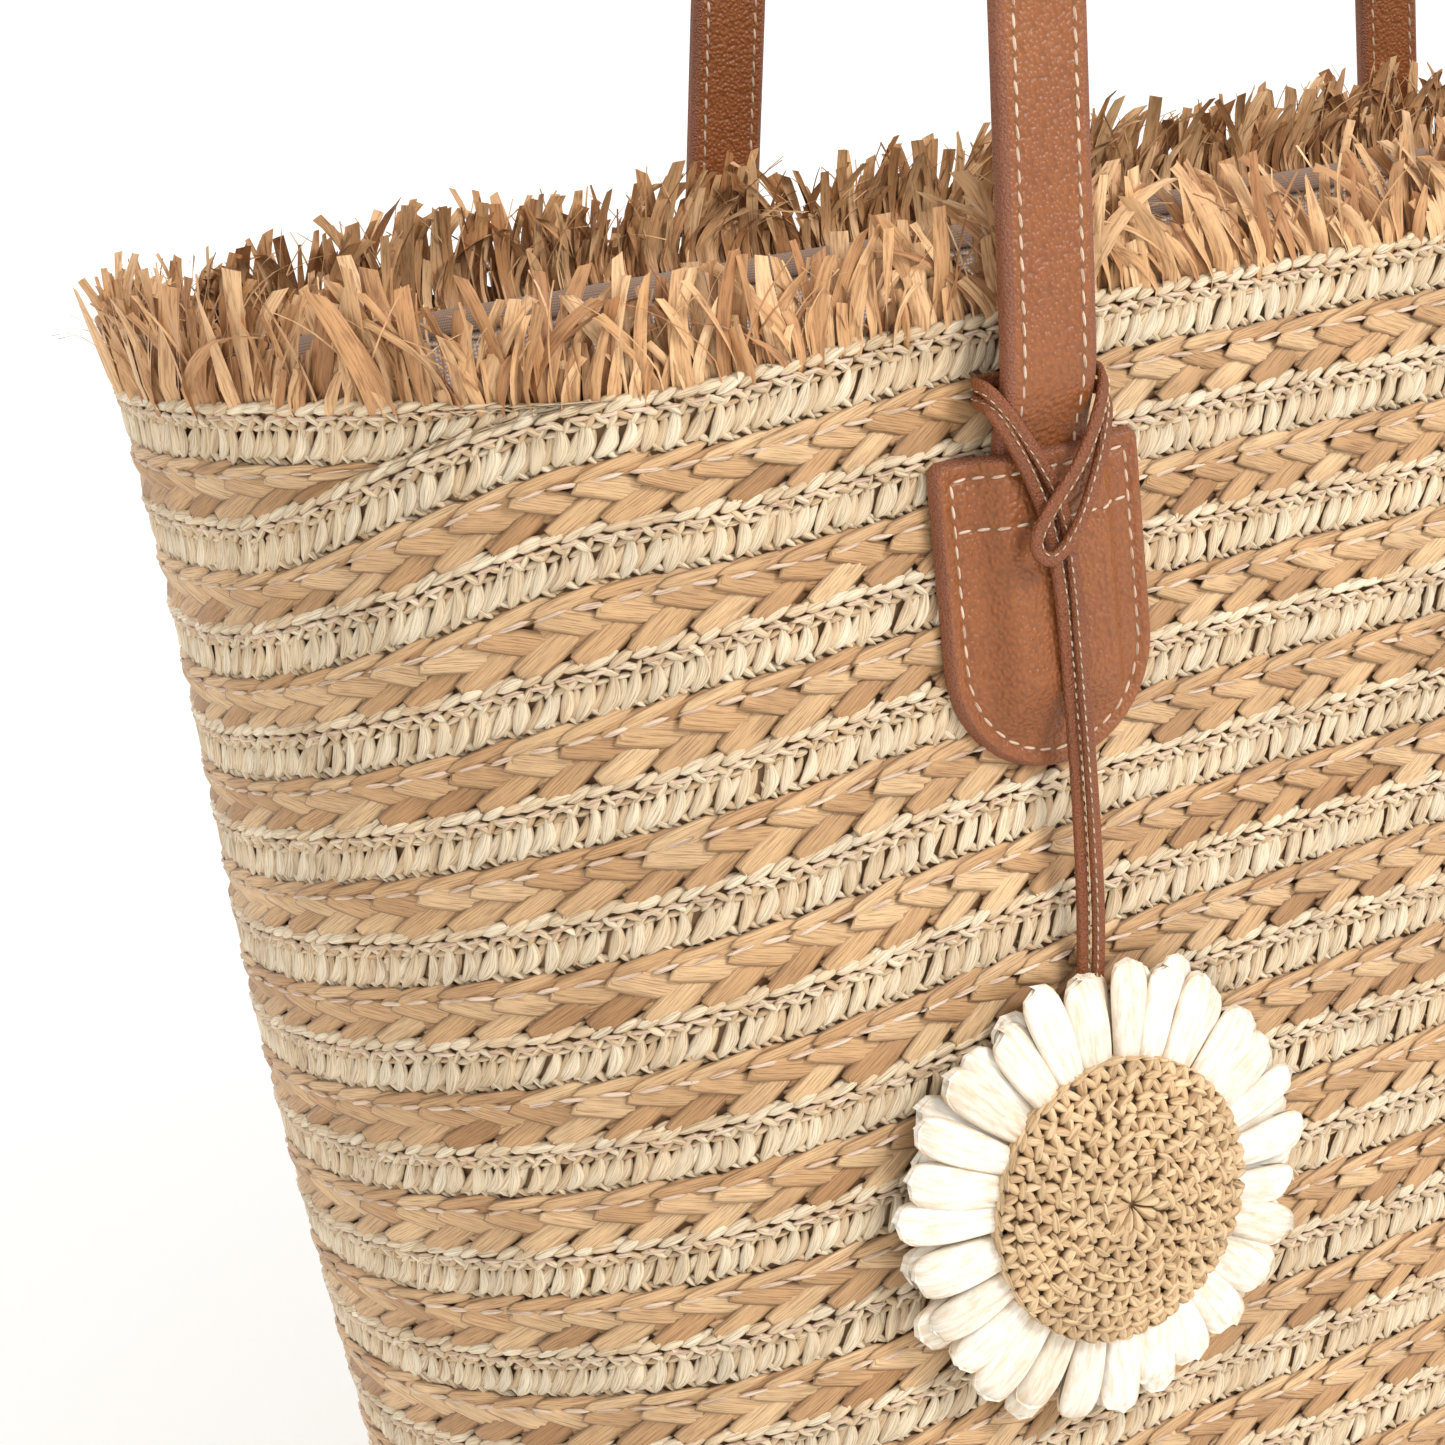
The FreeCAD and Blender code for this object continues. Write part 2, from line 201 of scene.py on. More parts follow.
class Heap:
    """Grids of points gathered into one mesh, with their uv, tone and edge values."""

    def __init__(self):
        self.points, self.uv, self.tone, self.edge, self.faces, self.slots = [], [], [], [], [], []
        self.total = 0

    def add(self, points, uv, tone, edge, slot=0):
        """Add grids: points (n, rows, columns, 3), uv in centimetres, tone one per grid."""
        count, rows, columns, _ = points.shape
        faces = grid_faces(count, rows, columns) + self.total
        shape = (count, rows, columns)
        self.points.append(points.reshape(-1, 3))
        self.uv.append(np.broadcast_to(uv, shape + (2,)).reshape(-1, 2))
        self.tone.append(np.broadcast_to(np.reshape(tone, (-1, 1, 1)), shape).ravel())
        self.edge.append(np.broadcast_to(edge, shape).ravel())
        self.faces.append(faces)
        self.slots.append(np.broadcast_to(slot, (count, rows - 1, columns - 1)).ravel())
        self.total += count * rows * columns

    def mesh(self, name):
        """The gathered grids as a Blender mesh, shaded smooth."""
        points = np.concatenate(self.points)
        faces = np.concatenate(self.faces)
        mesh = bpy.data.meshes.new(name)
        mesh.vertices.add(len(points))
        mesh.vertices.foreach_set("co", points.astype(np.float32).ravel())
        mesh.loops.add(faces.size)
        mesh.loops.foreach_set("vertex_index", faces.astype(np.int32).ravel())
        mesh.polygons.add(len(faces))
        mesh.polygons.foreach_set("loop_start", np.arange(0, faces.size, 4, dtype=np.int32))
        mesh.polygons.foreach_set("material_index", np.concatenate(self.slots).astype(np.int32))
        mesh.update(calc_edges=True)
        uv = np.concatenate(self.uv)[faces.ravel()].astype(np.float32)
        mesh.uv_layers.new(name="along").data.foreach_set("uv", uv.ravel())
        for label, values in (("tone", self.tone), ("edge", self.edge)):
            layer = mesh.attributes.new(label, "FLOAT", "POINT")
            layer.data.foreach_set("value", np.concatenate(values).astype(np.float32))
        mesh.shade_smooth()
        return mesh


# %% A row of blades
def spread(low, high, count):
    """Random numbers between two values, one per blade."""
    return chance.uniform(low, high, count)


def column(values):
    """One value per blade, ready to multiply with grids."""
    return np.reshape(np.asarray(values, dtype=float), (-1, 1, 1))


def blade_row(along, up, out, length, width, angle, crown, rows=6, columns=5, point=2.5,
              bow=0.0, skew=0.0, tip=0.8, slope=0.0, creases=1.0, crease=0.12, roll=0.0, taper=0.0):
    """Blades in flat measures: along, up and out, in metres, with uv and edge distance.

    point is how blunt the ends are, bow bends the blade sideways, skew slants its ends,
    tip drops the ends, slope raises the first end over the last, roll tilts it sideways,
    taper makes the first end wider than the last.
    """
    t = np.linspace(-1, 1, rows)[None, :, None]
    w = np.linspace(-1, 1, columns)[None, None, :]
    count = len(along)
    length, width, angle, crown = (column(np.broadcast_to(v, count)) for v in (length, width, angle, crown))
    bow, skew, slope, roll = (column(np.broadcast_to(v, count)) for v in (bow, skew, slope, roll))
    half = width / 2 * (1 - np.abs(t) ** point * 0.95) ** 0.6 * (1 - taper * t)
    x = t * length / 2 + w * half * skew
    y = w * half + bow * (1 - t * t)
    phase = column(chance.uniform(0, 2 * np.pi, count))
    ripple = np.cos(w * np.pi * creases + phase + t * 0.6)
    height = crown * ((1 - w ** 2) ** 0.45 * (1 - tip * t ** 4) + crease * ripple * (1 - w ** 4))
    height = height - slope * t + roll * w
    cos, sin = np.cos(angle), np.sin(angle)
    flat = (column(along) + x * cos - y * sin, column(up) + x * sin + y * cos, column(out) + height)
    shift = column(chance.uniform(0, 40, count))
    u = (t * length / 2) * 100 + shift + w * 0
    v = (w * width / 2) * 100 + shift * 0.37 + t * 0
    uv = np.stack(np.broadcast_arrays(u, v), axis=-1)
    edge = np.maximum(np.abs(w), np.abs(t) ** 6)
    return flat, uv, edge


# %% [markdown]
# ## The wall as a surface
# The outline has straight faces and half-round ends, and gets shorter towards the base. The braids
# run round it level. Only at the front left bend do they climb by one pair, because a spiral must
# climb somewhere and the maker keeps the rim level: there the last turn tapers out under the rim.

# %% The wall
def smooth_step(k):
    """Nothing below zero, all above one, smooth between."""
    k = np.clip(k, 0, 1)
    return k * k * (3 - 2 * k)


first_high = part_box("natural_course_02")[1]
rim_straight = rim_high[0] - half_depth
taper = (rim_high[0] - first_high[0]) / (rim_height - first_high[2])
turns = 14
base_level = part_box("base_mat")[1][2]
pair = (rim_height - base_level) / turns
natural_share = 0.49
seam_angle = math.radians(133)
braid_inset = 1.9 * mm        # how far the braids' feet lie inside the wall's outline
climb_reach = 0.036           # how far a turn's climb reaches on both sides of the seam, in turns


def straight_half(height):
    """Half length of the straight faces at a height."""
    return rim_straight - taper * (rim_height - height)


def girth(height):
    """The way once round the bag at a height."""
    return 4 * straight_half(height) + 2 * math.pi * half_depth


def soft_swell(x, height):
    """The small unevenness of a soft wall, outwards."""
    fall = np.clip((rim_height - height) / (0.12), 0, 1)
    wave = 0.7 * np.sin(23 * x + 31 * height) + 0.5 * np.sin(61 * x - 17 * height)
    return (wave + 1.6 * fall * fall) * mm * np.clip(height / 0.03, 0, 1)


def rim_sag(way):
    """How far the rim hangs below level, by the way along it from the seam."""
    return (0.8 + 3.6 * np.exp(-((way - 0.045) / 0.035) ** 2)) * mm


def wall(along, height, out):
    """Points of the wall: along in turns from the seam, height and out in metres."""
    along, height, out = np.broadcast_arrays(along, height, out)
    half = straight_half(height)
    bend = math.pi * half_depth
    whole = 4 * half + 2 * bend
    s = (3 * half + bend + seam_angle * half_depth + (along % 1.0) * whole) % whole
    right = (s - half) / half_depth
    left = (s - 3 * half - bend) / half_depth
    places = [s < half, s < half + bend, s < 3 * half + bend, s < 3 * half + 2 * bend]
    x = np.select(places, [s, half, 2 * half + bend - s, -half], s - whole)
    nx = np.select(places, [0 * s, np.sin(right), 0 * s, -np.sin(left)], 0 * s)
    ny = np.select(places, [0 * s - 1, -np.cos(right), 0 * s + 1, np.cos(left)], 0 * s - 1)
    turned_in = 6 * mm * np.clip(1 - height / (11 * mm), 0, 1) ** 2 * (height > 0)
    reach = np.maximum(half_depth + out + soft_swell(x, height) - turned_in, 0)
    way = ((along + 0.5) % 1.0 - 0.5) * whole
    sag = rim_sag(way) * np.clip(height / rim_height, 0, 1) ** 3
    return np.stack([x + nx * reach, ny * reach, height - sag], axis=-1)


def climb(turn, along):
    """How far a turn has climbed, from minus one to plus one pair, near the seam.

    The lower turns climb over a longer way; only the last ones are pushed level with the rim.
    """
    reach = climb_reach * (1 + 2.2 * np.clip((turns - 1.5 - turn) / 5, 0, 1))
    before = np.clip((along - (1 - reach)) / (2 * reach), 0, 1)
    after = np.clip(0.5 + along / (2 * reach), 0, 1)
    return smooth_step(before) - (1 - smooth_step(after))


def course_height(turn, along, share):
    """Height of a point of a pair: share 0 is the pair's bottom, 1 its top edge.

    Where the last pair is squeezed under the rim, its natural part gives way first.
    """
    low = np.clip(base_level + (turn + climb(turn - 0.5, along)) * pair, base_level, rim_height)
    high = np.clip(base_level + (turn + 1 + climb(turn + 0.5, along)) * pair, base_level, rim_height)
    tall = np.maximum((high - low) / pair, 1e-6)
    natural = np.clip(1 - (1 - natural_share) / tall, 0, 1)
    in_natural = share / natural_share * natural
    in_cream = natural + (share - natural_share) / (1 - natural_share) * (1 - natural)
    return low + (high - low) * np.where(share < natural_share, in_natural, in_cream)


def sew_on(heap, turn, floor_share, flat, uv, edge, tone, slot=0, floor_up=0.0):
    """Bend flat blades onto a turn of the wall and add them to a heap."""
    along, up, out = flat
    level = base_level + (turn + floor_share) * pair
    place = along / girth(level)
    share = floor_share + (up + floor_up) / pair
    heap.add(wall(place, course_height(turn, place, share), out - braid_inset), uv, tone, edge, slot)


def turn_span(turn, floor_share):
    """Where one turn of a braid starts and ends, in metres of way from the seam.

    The first turn starts early, under the base of the second, and the last runs on to its tapered end.
    """
    early = 3.0 * climb_reach if turn == 0 else 0
    late = 0.9 * climb_reach if turn == turns - 1 else 0
    way = girth(base_level + (turn + floor_share) * pair)
    return -early * way, (1 + late) * way


def repeats(turn, floor_share, step):
    """Places of a braid's repeats along one turn, and how many there are."""
    start, end = turn_span(turn, floor_share)
    count = int(round((end - start) / step))
    return start + (np.arange(count) + 0.5) * (end - start) / count, count


print("girth at the rim", round(girth(rim_height), 3), "m, pair of braids", round(pair / mm, 2), "mm")

# %% [markdown]
# ## Materials
# Straw colour comes from three things: each blade's own tone, fine fibre lines along it, and a
# darker line at its edges, painted shade where blades meet. Leather is pebbled with small cells.

# %% Node helpers
def from_bytes(red, green, blue):
    """A display colour, 0 to 255 each, as the linear colour that shaders take."""
    def linear(value):
        value /= 255
        return value / 12.92 if value <= 0.04045 else ((value + 0.055) / 1.055) ** 2.4
    return (linear(red), linear(green), linear(blue), 1.0)


class Nodes:
    """A node tree that is written down from left to right."""

    def __init__(self, name, roughness):
        self.material = bpy.data.materials.new(name)
        self.material.use_nodes = True
        self.tree = self.material.node_tree
        self.shader = self.tree.nodes["Principled BSDF"]
        self.shader.inputs["Roughness"].default_value = roughness

    def add(self, kind, inputs=None, **settings):
        """A node with its settings; an input is a value or another node's output."""
        node = self.tree.nodes.new(kind)
        for key, value in settings.items():
            setattr(node, key, value)
        for key, value in (inputs or {}).items():
            if isinstance(value, bpy.types.NodeSocket):
                self.tree.links.new(value, node.inputs[key])
            else:
                node.inputs[key].default_value = value
        return node

    def ramp(self, factor, *stops):
        """A colour ramp over a factor, with (place, colour) stops."""
        node = self.add("ShaderNodeValToRGB", {"Fac": factor})
        elements = node.color_ramp.elements
        while len(elements) < len(stops):
            elements.new(0.5)
        for element, (place, colour) in zip(elements, stops):
            element.position = place
            element.color = colour
        return node.outputs["Color"]

    def multiply(self, first, second, amount=1.0):
        """Two colours multiplied."""
        node = self.add("ShaderNodeMix", data_type="RGBA", blend_type="MULTIPLY")
        node.inputs[0].default_value = amount
        self.tree.links.new(first, node.inputs[6])
        self.tree.links.new(second, node.inputs[7])
        return node.outputs[2]

    def noise(self, vector, scale, detail=3.0, roughness=0.5, distortion=0.0):
        """A noise texture's value."""
        node = self.add("ShaderNodeTexNoise", {"Vector": vector, "Scale": scale, "Detail": detail,
                                               "Roughness": roughness, "Distortion": distortion})
        return node.outputs["Fac"]

    def stretched(self, vector, scale):
        """A vector scaled differently along each axis."""
        return self.add("ShaderNodeMapping", {"Vector": vector, "Scale": scale}).outputs["Vector"]

    def attribute(self, name):
        """A value stored on the mesh."""
        return self.add("ShaderNodeAttribute", attribute_name=name).outputs["Fac"]

    def bump(self, height, strength, distance, below=None):
        """A bump normal, over another one if given."""
        inputs = {"Height": height, "Strength": strength, "Distance": distance}
        if below is not None:
            inputs["Normal"] = below
        return self.add("ShaderNodeBump", inputs).outputs["Normal"]

    def finish(self, colour, normal=None):
        """Connect colour and normal, and return the material."""
        self.tree.links.new(colour, self.shader.inputs["Base Color"])
        if normal is not None:
            self.tree.links.new(normal, self.shader.inputs["Normal"])
        return self.material


def grey(value):
    """A grey for ramps that only darken."""
    return (value, value, value, 1)


# %% Straw, cloth and leather
def straw(name, pale, middle, deep, edge_shade=0.5, fibre=42.0, roughness=0.55, line_shade=0.6):
    """Plant fibre: a tone for each blade, fibre lines along it and painted shade at its edges."""
    nodes = Nodes(name, roughness)
    uv = nodes.add("ShaderNodeUVMap", uv_map="along").outputs["UV"]
    lines = nodes.noise(nodes.stretched(uv, (1.6, fibre, 1)), 1.0, 5, 0.65)
    blotch = nodes.noise(nodes.add("ShaderNodeTexCoord").outputs["Object"], 70, 3)
    colour = nodes.ramp(nodes.attribute("tone"), (0.0, deep), (0.5, middle), (1.0, pale))
    dark_line = (line_shade, line_shade * 0.88, line_shade * 0.76, 1)
    colour = nodes.multiply(colour, nodes.ramp(
        lines, (0.38, dark_line), (0.5, grey(0.97)), (0.62, grey(1.12))))
    colour = nodes.multiply(colour, nodes.ramp(blotch, (0.3, grey(0.86)), (0.7, grey(1.06))))
    # Painted shade: each blade darkens to a warm brown towards its edges, where it meets its neighbours.
    brown = (edge_shade, edge_shade * 0.86, edge_shade * 0.72, 1)
    shade = nodes.ramp(nodes.attribute("edge"), (0.72, grey(1)), (0.98, brown))
    nodes.shader.inputs["Sheen Weight"].default_value = 0.08
    normal = nodes.bump(lines, 0.6, 0.3 * mm)
    return nodes.finish(nodes.multiply(colour, shade), normal)


def leather(name, middle, deep, grain=1300.0, roughness=0.38):
    """Pebbled leather: small raised cells with fine wrinkles between them."""
    nodes = Nodes(name, roughness)
    place = nodes.add("ShaderNodeTexCoord").outputs["Object"]
    warp = nodes.noise(place, 400, 2)
    cells = nodes.add("ShaderNodeTexVoronoi", {"Vector": place, "Scale": grain, "Randomness": 1.0},
                      feature="SMOOTH_F1").outputs["Distance"]
    fine = nodes.noise(place, 2600, 4, 0.6, 0.4)
    broad = nodes.noise(place, 42, 4)
    colour = nodes.ramp(broad, (0.25, deep), (0.75, middle))
    colour = nodes.multiply(colour, nodes.ramp(cells, (0.1, grey(1.1)), (0.75, grey(0.74))))
    pebbles = nodes.bump(cells, 0.9, -0.45 * mm, nodes.bump(warp, 0.4, 0.3 * mm))
    normal = nodes.bump(fine, 0.4, 0.12 * mm, pebbles)
    nodes.shader.inputs["Specular IOR Level"].default_value = 0.42
    return nodes.finish(colour, normal)


def cloth(name, pale, deep, threads=900.0):
    """Plain-weave cloth: two sets of threads that cross, in uv."""
    nodes = Nodes(name, 0.85)
    uv = nodes.add("ShaderNodeUVMap", uv_map="along").outputs["UV"]
    warp = nodes.add("ShaderNodeTexWave", {"Vector": uv, "Scale": threads, "Distortion": 0.6, "Detail": 1.0},
                     bands_direction="X").outputs["Fac"]
    weft = nodes.add("ShaderNodeTexWave", {"Vector": uv, "Scale": threads, "Distortion": 0.6, "Detail": 1.0},
                     bands_direction="Y").outputs["Fac"]
    weave = nodes.add("ShaderNodeMath", {0: warp, 1: weft}, operation="MULTIPLY").outputs[0]
    colour = nodes.ramp(weave, (0.1, deep), (0.6, pale))
    patches = nodes.noise(uv, 0.6, 4)
    colour = nodes.multiply(colour, nodes.ramp(patches, (0.3, grey(0.88)), (0.7, grey(1.05))))
    nodes.shader.inputs["Sheen Weight"].default_value = 0.2
    return nodes.finish(colour, nodes.bump(weave, 0.5, 0.3 * mm))


cream_straw = straw("cream_straw", from_bytes(222, 207, 180), from_bytes(209, 187, 154),
                    from_bytes(188, 157, 118), 0.58)
natural_straw = straw("natural_straw", from_bytes(209, 175, 132), from_bytes(189, 149, 104),
                      from_bytes(160, 117, 73), 0.42)
fringe_straw = straw("fringe_straw", from_bytes(220, 180, 134), from_bytes(202, 156, 107),
                     from_bytes(164, 112, 66), 0.45, 16.0)
petal_straw = straw("petal_straw", from_bytes(236, 231, 220), from_bytes(231, 224, 210),
                    from_bytes(222, 210, 190), 0.8, 9.0, 0.6, 0.9)
crochet_straw = straw("crochet_straw", from_bytes(214, 186, 146), from_bytes(202, 170, 128),
                      from_bytes(180, 144, 102), 0.45, 14.0)
# Plain dark browns for backings and needle holes: painted shade in the gaps between blades and in the holes.
shade_straw = plain_material("shade_straw", from_bytes(112, 78, 48)[:3], 0.9)
shade_cream = plain_material("shade_cream", from_bytes(150, 116, 82)[:3], 0.9)
thread_cream = straw("thread_cream", from_bytes(214, 192, 170), from_bytes(204, 178, 154),
                     from_bytes(186, 156, 130), 0.7, 30.0, 0.7)
strap_leather = leather("strap_leather", from_bytes(144, 84, 40), from_bytes(128, 71, 33))
edge_leather = leather("edge_leather", from_bytes(142, 86, 58), from_bytes(122, 72, 48), 2600.0, 0.5)
lace_leather = leather("lace_leather", from_bytes(134, 74, 38), from_bytes(112, 60, 30), 2400.0, 0.45)
lining_cloth = cloth("lining_cloth", from_bytes(196, 178, 166), from_bytes(146, 126, 114), 3.4)
hem_cloth = cloth("hem_cloth", from_bytes(164, 138, 118), from_bytes(132, 106, 90), 8.0)

# %% [markdown]
# ## The cream braid
# A cream course is a fine, knobbly plait. From its top edge down: a rope-like edge, a line of
# sewing thread, a row of short bent folds, tall upright leaves, and small slanting teeth that go
# under the next course. One repeat is about 4 mm of braid.

# %% Cream courses
cream_step = 3.9 * mm


def cream_course(turn):
    """One turn of the cream braid."""
    heap = Heap()
    at, count = repeats(turn, natural_share, cream_step)

    def lay(offset, up, out, length, width, angle, crown, tone_low=0.0, tone_high=1.0, **shape):
        place = at + (offset + spread(-0.07, 0.07, count)) * cream_step
        up = (up * 1.07 + spread(-0.2, 0.2, count)) * mm
        grow = spread(0.86, 1.14, count)
        turned = np.radians(angle + spread(-11, 11, count))
        flat, uv, edge = blade_row(place, up, (out + spread(-0.12, 0.12, count)) * mm, length * mm * grow,
                                   width * mm * spread(0.85, 1.15, count), turned, crown * mm, **shape)
        sew_on(heap, turn, natural_share, flat, uv, edge, spread(tone_low, tone_high, count))

    # Each row's tone span mixes random straw tone with painted light: rows that lie under others, like the
    # teeth, take darker spans, the top leaves lighter ones.
    lay(0.0, 9.3, 1.5, 5.8, 2.3, 14, 1.0, 0.3, 1.0, slope=0.35 * mm, point=1.8)
    lay(0.5, 9.7, 0.9, 4.8, 1.8, 22, 0.9, 0.1, 0.9, slope=0.3 * mm, point=1.8)
    lay(0.2, 7.4, 1.6, 3.9, 1.5, -35, 0.8, 0.1, 0.9, point=1.8)
    lay(0.6, 7.0, 1.4, 3.8, 1.5, 48, 0.8, 0.0, 0.8, point=1.8)
    lay(0.9, 6.2, 1.0, 3.4, 1.4, 8, 0.7, 0.0, 0.7, point=1.8)
    lay(0.0, 4.1, 1.2, 7.9, 3.2, 66, 0.9, 0.4, 1.0, rows=9, columns=6, point=1.3, taper=0.25,
        bow=spread(-1.5, -0.5, count) * mm, creases=2.0, crease=0.22, roll=spread(-0.4, 0.4, count) * mm)
    lay(0.5, 3.7, 0.9, 7.0, 2.7, 56, 0.8, 0.1, 0.9, rows=8, columns=5, point=1.3, taper=0.15,
        bow=spread(-1.2, 0.6, count) * mm, creases=2.0, crease=0.22)
    lay(0.3, 1.4, 0.8, 4.6, 1.5, -46, 0.8, 0.1, 0.9, rows=5, columns=4, point=1.6)
    lay(0.75, 0.7, 0.4, 4.4, 1.4, -34, 0.7, 0.0, 0.7, rows=5, columns=4, point=1.6)
    add_shade_backing(heap, turn, natural_share, (1 - natural_share) * pair, 0.1 * mm)
    add_thread(heap, turn, natural_share, 8.3 * mm, 2.35 * mm, 5.2 * mm, 0.42 * mm)
    return heap


def add_shade_backing(heap, turn, floor_share, high, out):
    """A dark strip behind the blades, so that no light comes through the gaps; its brown is painted shade seen
    in the gaps.
    """
    along = np.linspace(*turn_span(turn, floor_share), 260)[None, :, None]
    up = np.linspace(-0.05, 1.0, 3)[None, None, :] * high
    flat = np.broadcast_arrays(along, up, np.full((1, 1, 1), out))
    sew_on(heap, turn, floor_share, flat, np.zeros(2), 0.0, [0.0], slot=1)


def add_thread(heap, turn, floor_share, up, out, step, thick):
    """A line of hand-length sewing stitches along a course."""
    at, count = repeats(turn, floor_share, step)
    flat, uv, edge = blade_row(at + spread(-0.1, 0.1, count) * step, up + spread(-0.15, 0.15, count) * mm,
                               np.full(count, out - thick), step * spread(0.8, 1.0, count), thick * 2.2,
                               np.radians(spread(-5, 9, count)), thick * 1.5,
                               rows=5, columns=5, point=4, tip=1.0)
    sew_on(heap, turn, floor_share, flat, uv, edge, spread(0.3, 1, count), slot=2)


for turn in range(turns):
    name = "cream_braid_{:02d}".format(turn + 1)
    piece = add_object(name, cream_course(turn).mesh(name), cream_straw, shade_cream, thread_cream)
    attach(piece, "bag")
    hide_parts("cream_course_{:02d}".format(turn + 1))
print("cream course:", len(piece.data.polygons), "faces")

# %% [markdown]
# ## The natural braid
# A natural course is plaited from wide flat strands. Its top edge shows folded-over strands as a
# narrow strip, with the sewing thread under it. Below lie two rows of wide strands that slant
# against each other like a row of chevrons, each over the next. One repeat is about 11 mm.

# %% Natural courses
natural_step = 10.6 * mm


def natural_course(turn):
    """One turn of the natural braid."""
    heap = Heap()
    at, count = repeats(turn, 0, natural_step)

    def lay(offset, up, out, length, width, angle, crown, tone_low=0.0, tone_high=1.0, **shape):
        place = at + (offset + spread(-0.06, 0.06, count)) * natural_step
        up = (up * 0.93 + spread(-0.25, 0.25, count)) * mm
        turned = np.radians(angle + spread(-5, 5, count))
        flat, uv, edge = blade_row(place, up, (out + spread(-0.1, 0.1, count)) * mm,
                                   length * mm * spread(0.93, 1.07, count),
                                   width * mm * spread(0.84, 1.1, count), turned, crown * mm, **shape)
        sew_on(heap, turn, 0, flat, uv, edge, spread(tone_low, tone_high, count))

    # Each row's tone span mixes random straw tone with painted shade: the second strip and the filler, which lie
    # under others, take darker spans.
    lay(0.0, 10.0, 1.6, 13.6, 2.6, 8, 0.65, 0.3, 1.0, rows=8, slope=0.5 * mm, point=4, creases=2.0)
    lay(0.5, 9.5, 1.2, 12.0, 2.4, 11, 0.55, 0.0, 0.8, slope=0.4 * mm, point=4, creases=2.0)
    lay(0.0, 6.3, 1.4, 12.9, 5.0, -20, 0.55, 0.3, 1.0, rows=10, columns=8, slope=0.8 * mm, point=8, skew=1.0,
        creases=3.0, crease=0.34, roll=spread(-0.5, 0.1, count) * mm)
    lay(0.5, 2.9, 1.1, 13.6, 5.2, 29, 0.6, 0.0, 1.0, rows=10, columns=8, slope=0.8 * mm, point=8, skew=-0.8,
        creases=3.0, crease=0.34, roll=spread(-0.1, 0.5, count) * mm)
    lay(0.3, 4.6, 0.6, 12.0, 4.8, 14, 0.5, 0.1, 0.6, rows=6, point=6)
    lay(0.25, 0.6, 0.7, 9.0, 3.0, -16, 0.6, 0.0, 0.8, rows=6, slope=0.3 * mm, point=3, creases=2.0)
    add_shade_backing(heap, turn, 0, natural_share * pair, 0.1 * mm)
    add_thread(heap, turn, 0, 7.9 * mm, 2.5 * mm, 6.6 * mm, 0.42 * mm)
    return heap


for turn in range(turns):
    name = "natural_braid_{:02d}".format(turn + 1)
    piece = add_object(name, natural_course(turn).mesh(name), natural_straw, shade_straw, thread_cream)
    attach(piece, "bag")
    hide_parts("natural_course_{:02d}".format(turn + 1))
print("natural course:", len(piece.data.polygons), "faces")

# %% [markdown]
# ## The base and the lining
# The base is the start of the same braid, laid flat in an oval coil. The lining is one cloth bag
# of thin plain weave: a wall and an oval floor. It is modelled as cut and hung, since a thin
# cloth sewn in under the rim takes the shape of the shell and has little room to fold. Its top
# edge is bound with a folded strip, stitched along its lower edge.

# %% Base mat
def base_coil():
    """Flat rings of natural straw under a thin core."""
    heap = Heap()
    ring_step = 9.6 * mm
    for ring in range(9):
        inset = -(8.5 * mm + ring * ring_step)
        way = 4 * straight_half(0) + 2 * math.pi * (half_depth + inset)
        count = max(8, int(round(way / natural_step)))
        at = (np.arange(count) + 0.5) / count
        for offset, up, angle in ((0.0, 2.4, -16), (0.5, -2.4, 24)):
            flat, uv, edge = blade_row(np.zeros(count), np.full(count, up * mm), np.full(count, 0.2 * mm),
                                       spread(13.5, 15.5, count) * mm, 5.4 * mm,
                                       np.radians(angle + spread(-3, 3, count)), 0.8 * mm, rows=9, columns=7,
                                       point=7, creases=3.0, slope=0.5 * mm)
            around, inward, down = flat
            place = column(at + offset / count) + around / way
            points = wall(place, 0 * around, inset + inward)
            points[..., 2] = 1.7 * mm - down
            heap.add(points, uv, spread(0.1, 1, count), edge)
    insets = np.array([4.5, 4.5, 30, 60, 88, 60, 30, 4.5]) * mm
    levels = np.array([2.2, 4.4, 4.6, 4.6, 4.6, 2.0, 2.0, 2.2]) * mm
    around = np.linspace(0, 1, 161)
    core = wall(around[None, None, :], 0.0, -insets[None, :, None])
    core[..., 2] = levels[None, :, None]
    heap.add(core, np.zeros(2), [0.2], 0.3)
    return heap


base_piece = add_object("base_coil", base_coil().mesh("base_coil"), natural_straw)
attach(base_piece, "bag")
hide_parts("base_mat")

# %% Lining and its binding
lining_top = 293.0 * mm
lining_inset = 6.4 * mm
floor_level = 5.9 * mm


def lining_mesh():
    """Cloth wall and floor in one sheet, with slight ripples."""
    around = np.linspace(0, 1, 321)[None, None, :]
    levels = np.concatenate([np.linspace(lining_top, floor_level, 46), np.full(14, floor_level)])
    insets = np.concatenate([np.full(46, lining_inset), np.linspace(lining_inset + 4 * mm, half_depth, 14)])
    levels, insets = levels[None, :, None], insets[None, :, None]
    turned = 2 * np.pi * around
    ripple = 0.5 * np.sin(turned * 17 + levels * 40) + 0.4 * np.sin(turned * 41 - levels * 90)
    fade = np.clip((levels - floor_level) / 0.03, 0, 1) * np.clip((lining_top - levels) / 0.02, 0, 1)
    ripple = ripple * mm * fade
    points = wall(around, levels, -insets - np.abs(ripple))
    points[..., 2] = np.maximum(points[..., 2], floor_level)
    way = girth(rim_height) * 100
    uv = np.stack(np.broadcast_arrays(around * way, -(levels + insets * -1) * 100), axis=-1)
    heap = Heap()
    heap.add(points, uv, [0.5], 0.0)
    return heap.mesh("lining_cloth_bag")


lining = add_object("lining_cloth_bag", lining_mesh(), lining_cloth)
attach(lining, "bag")
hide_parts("lining")


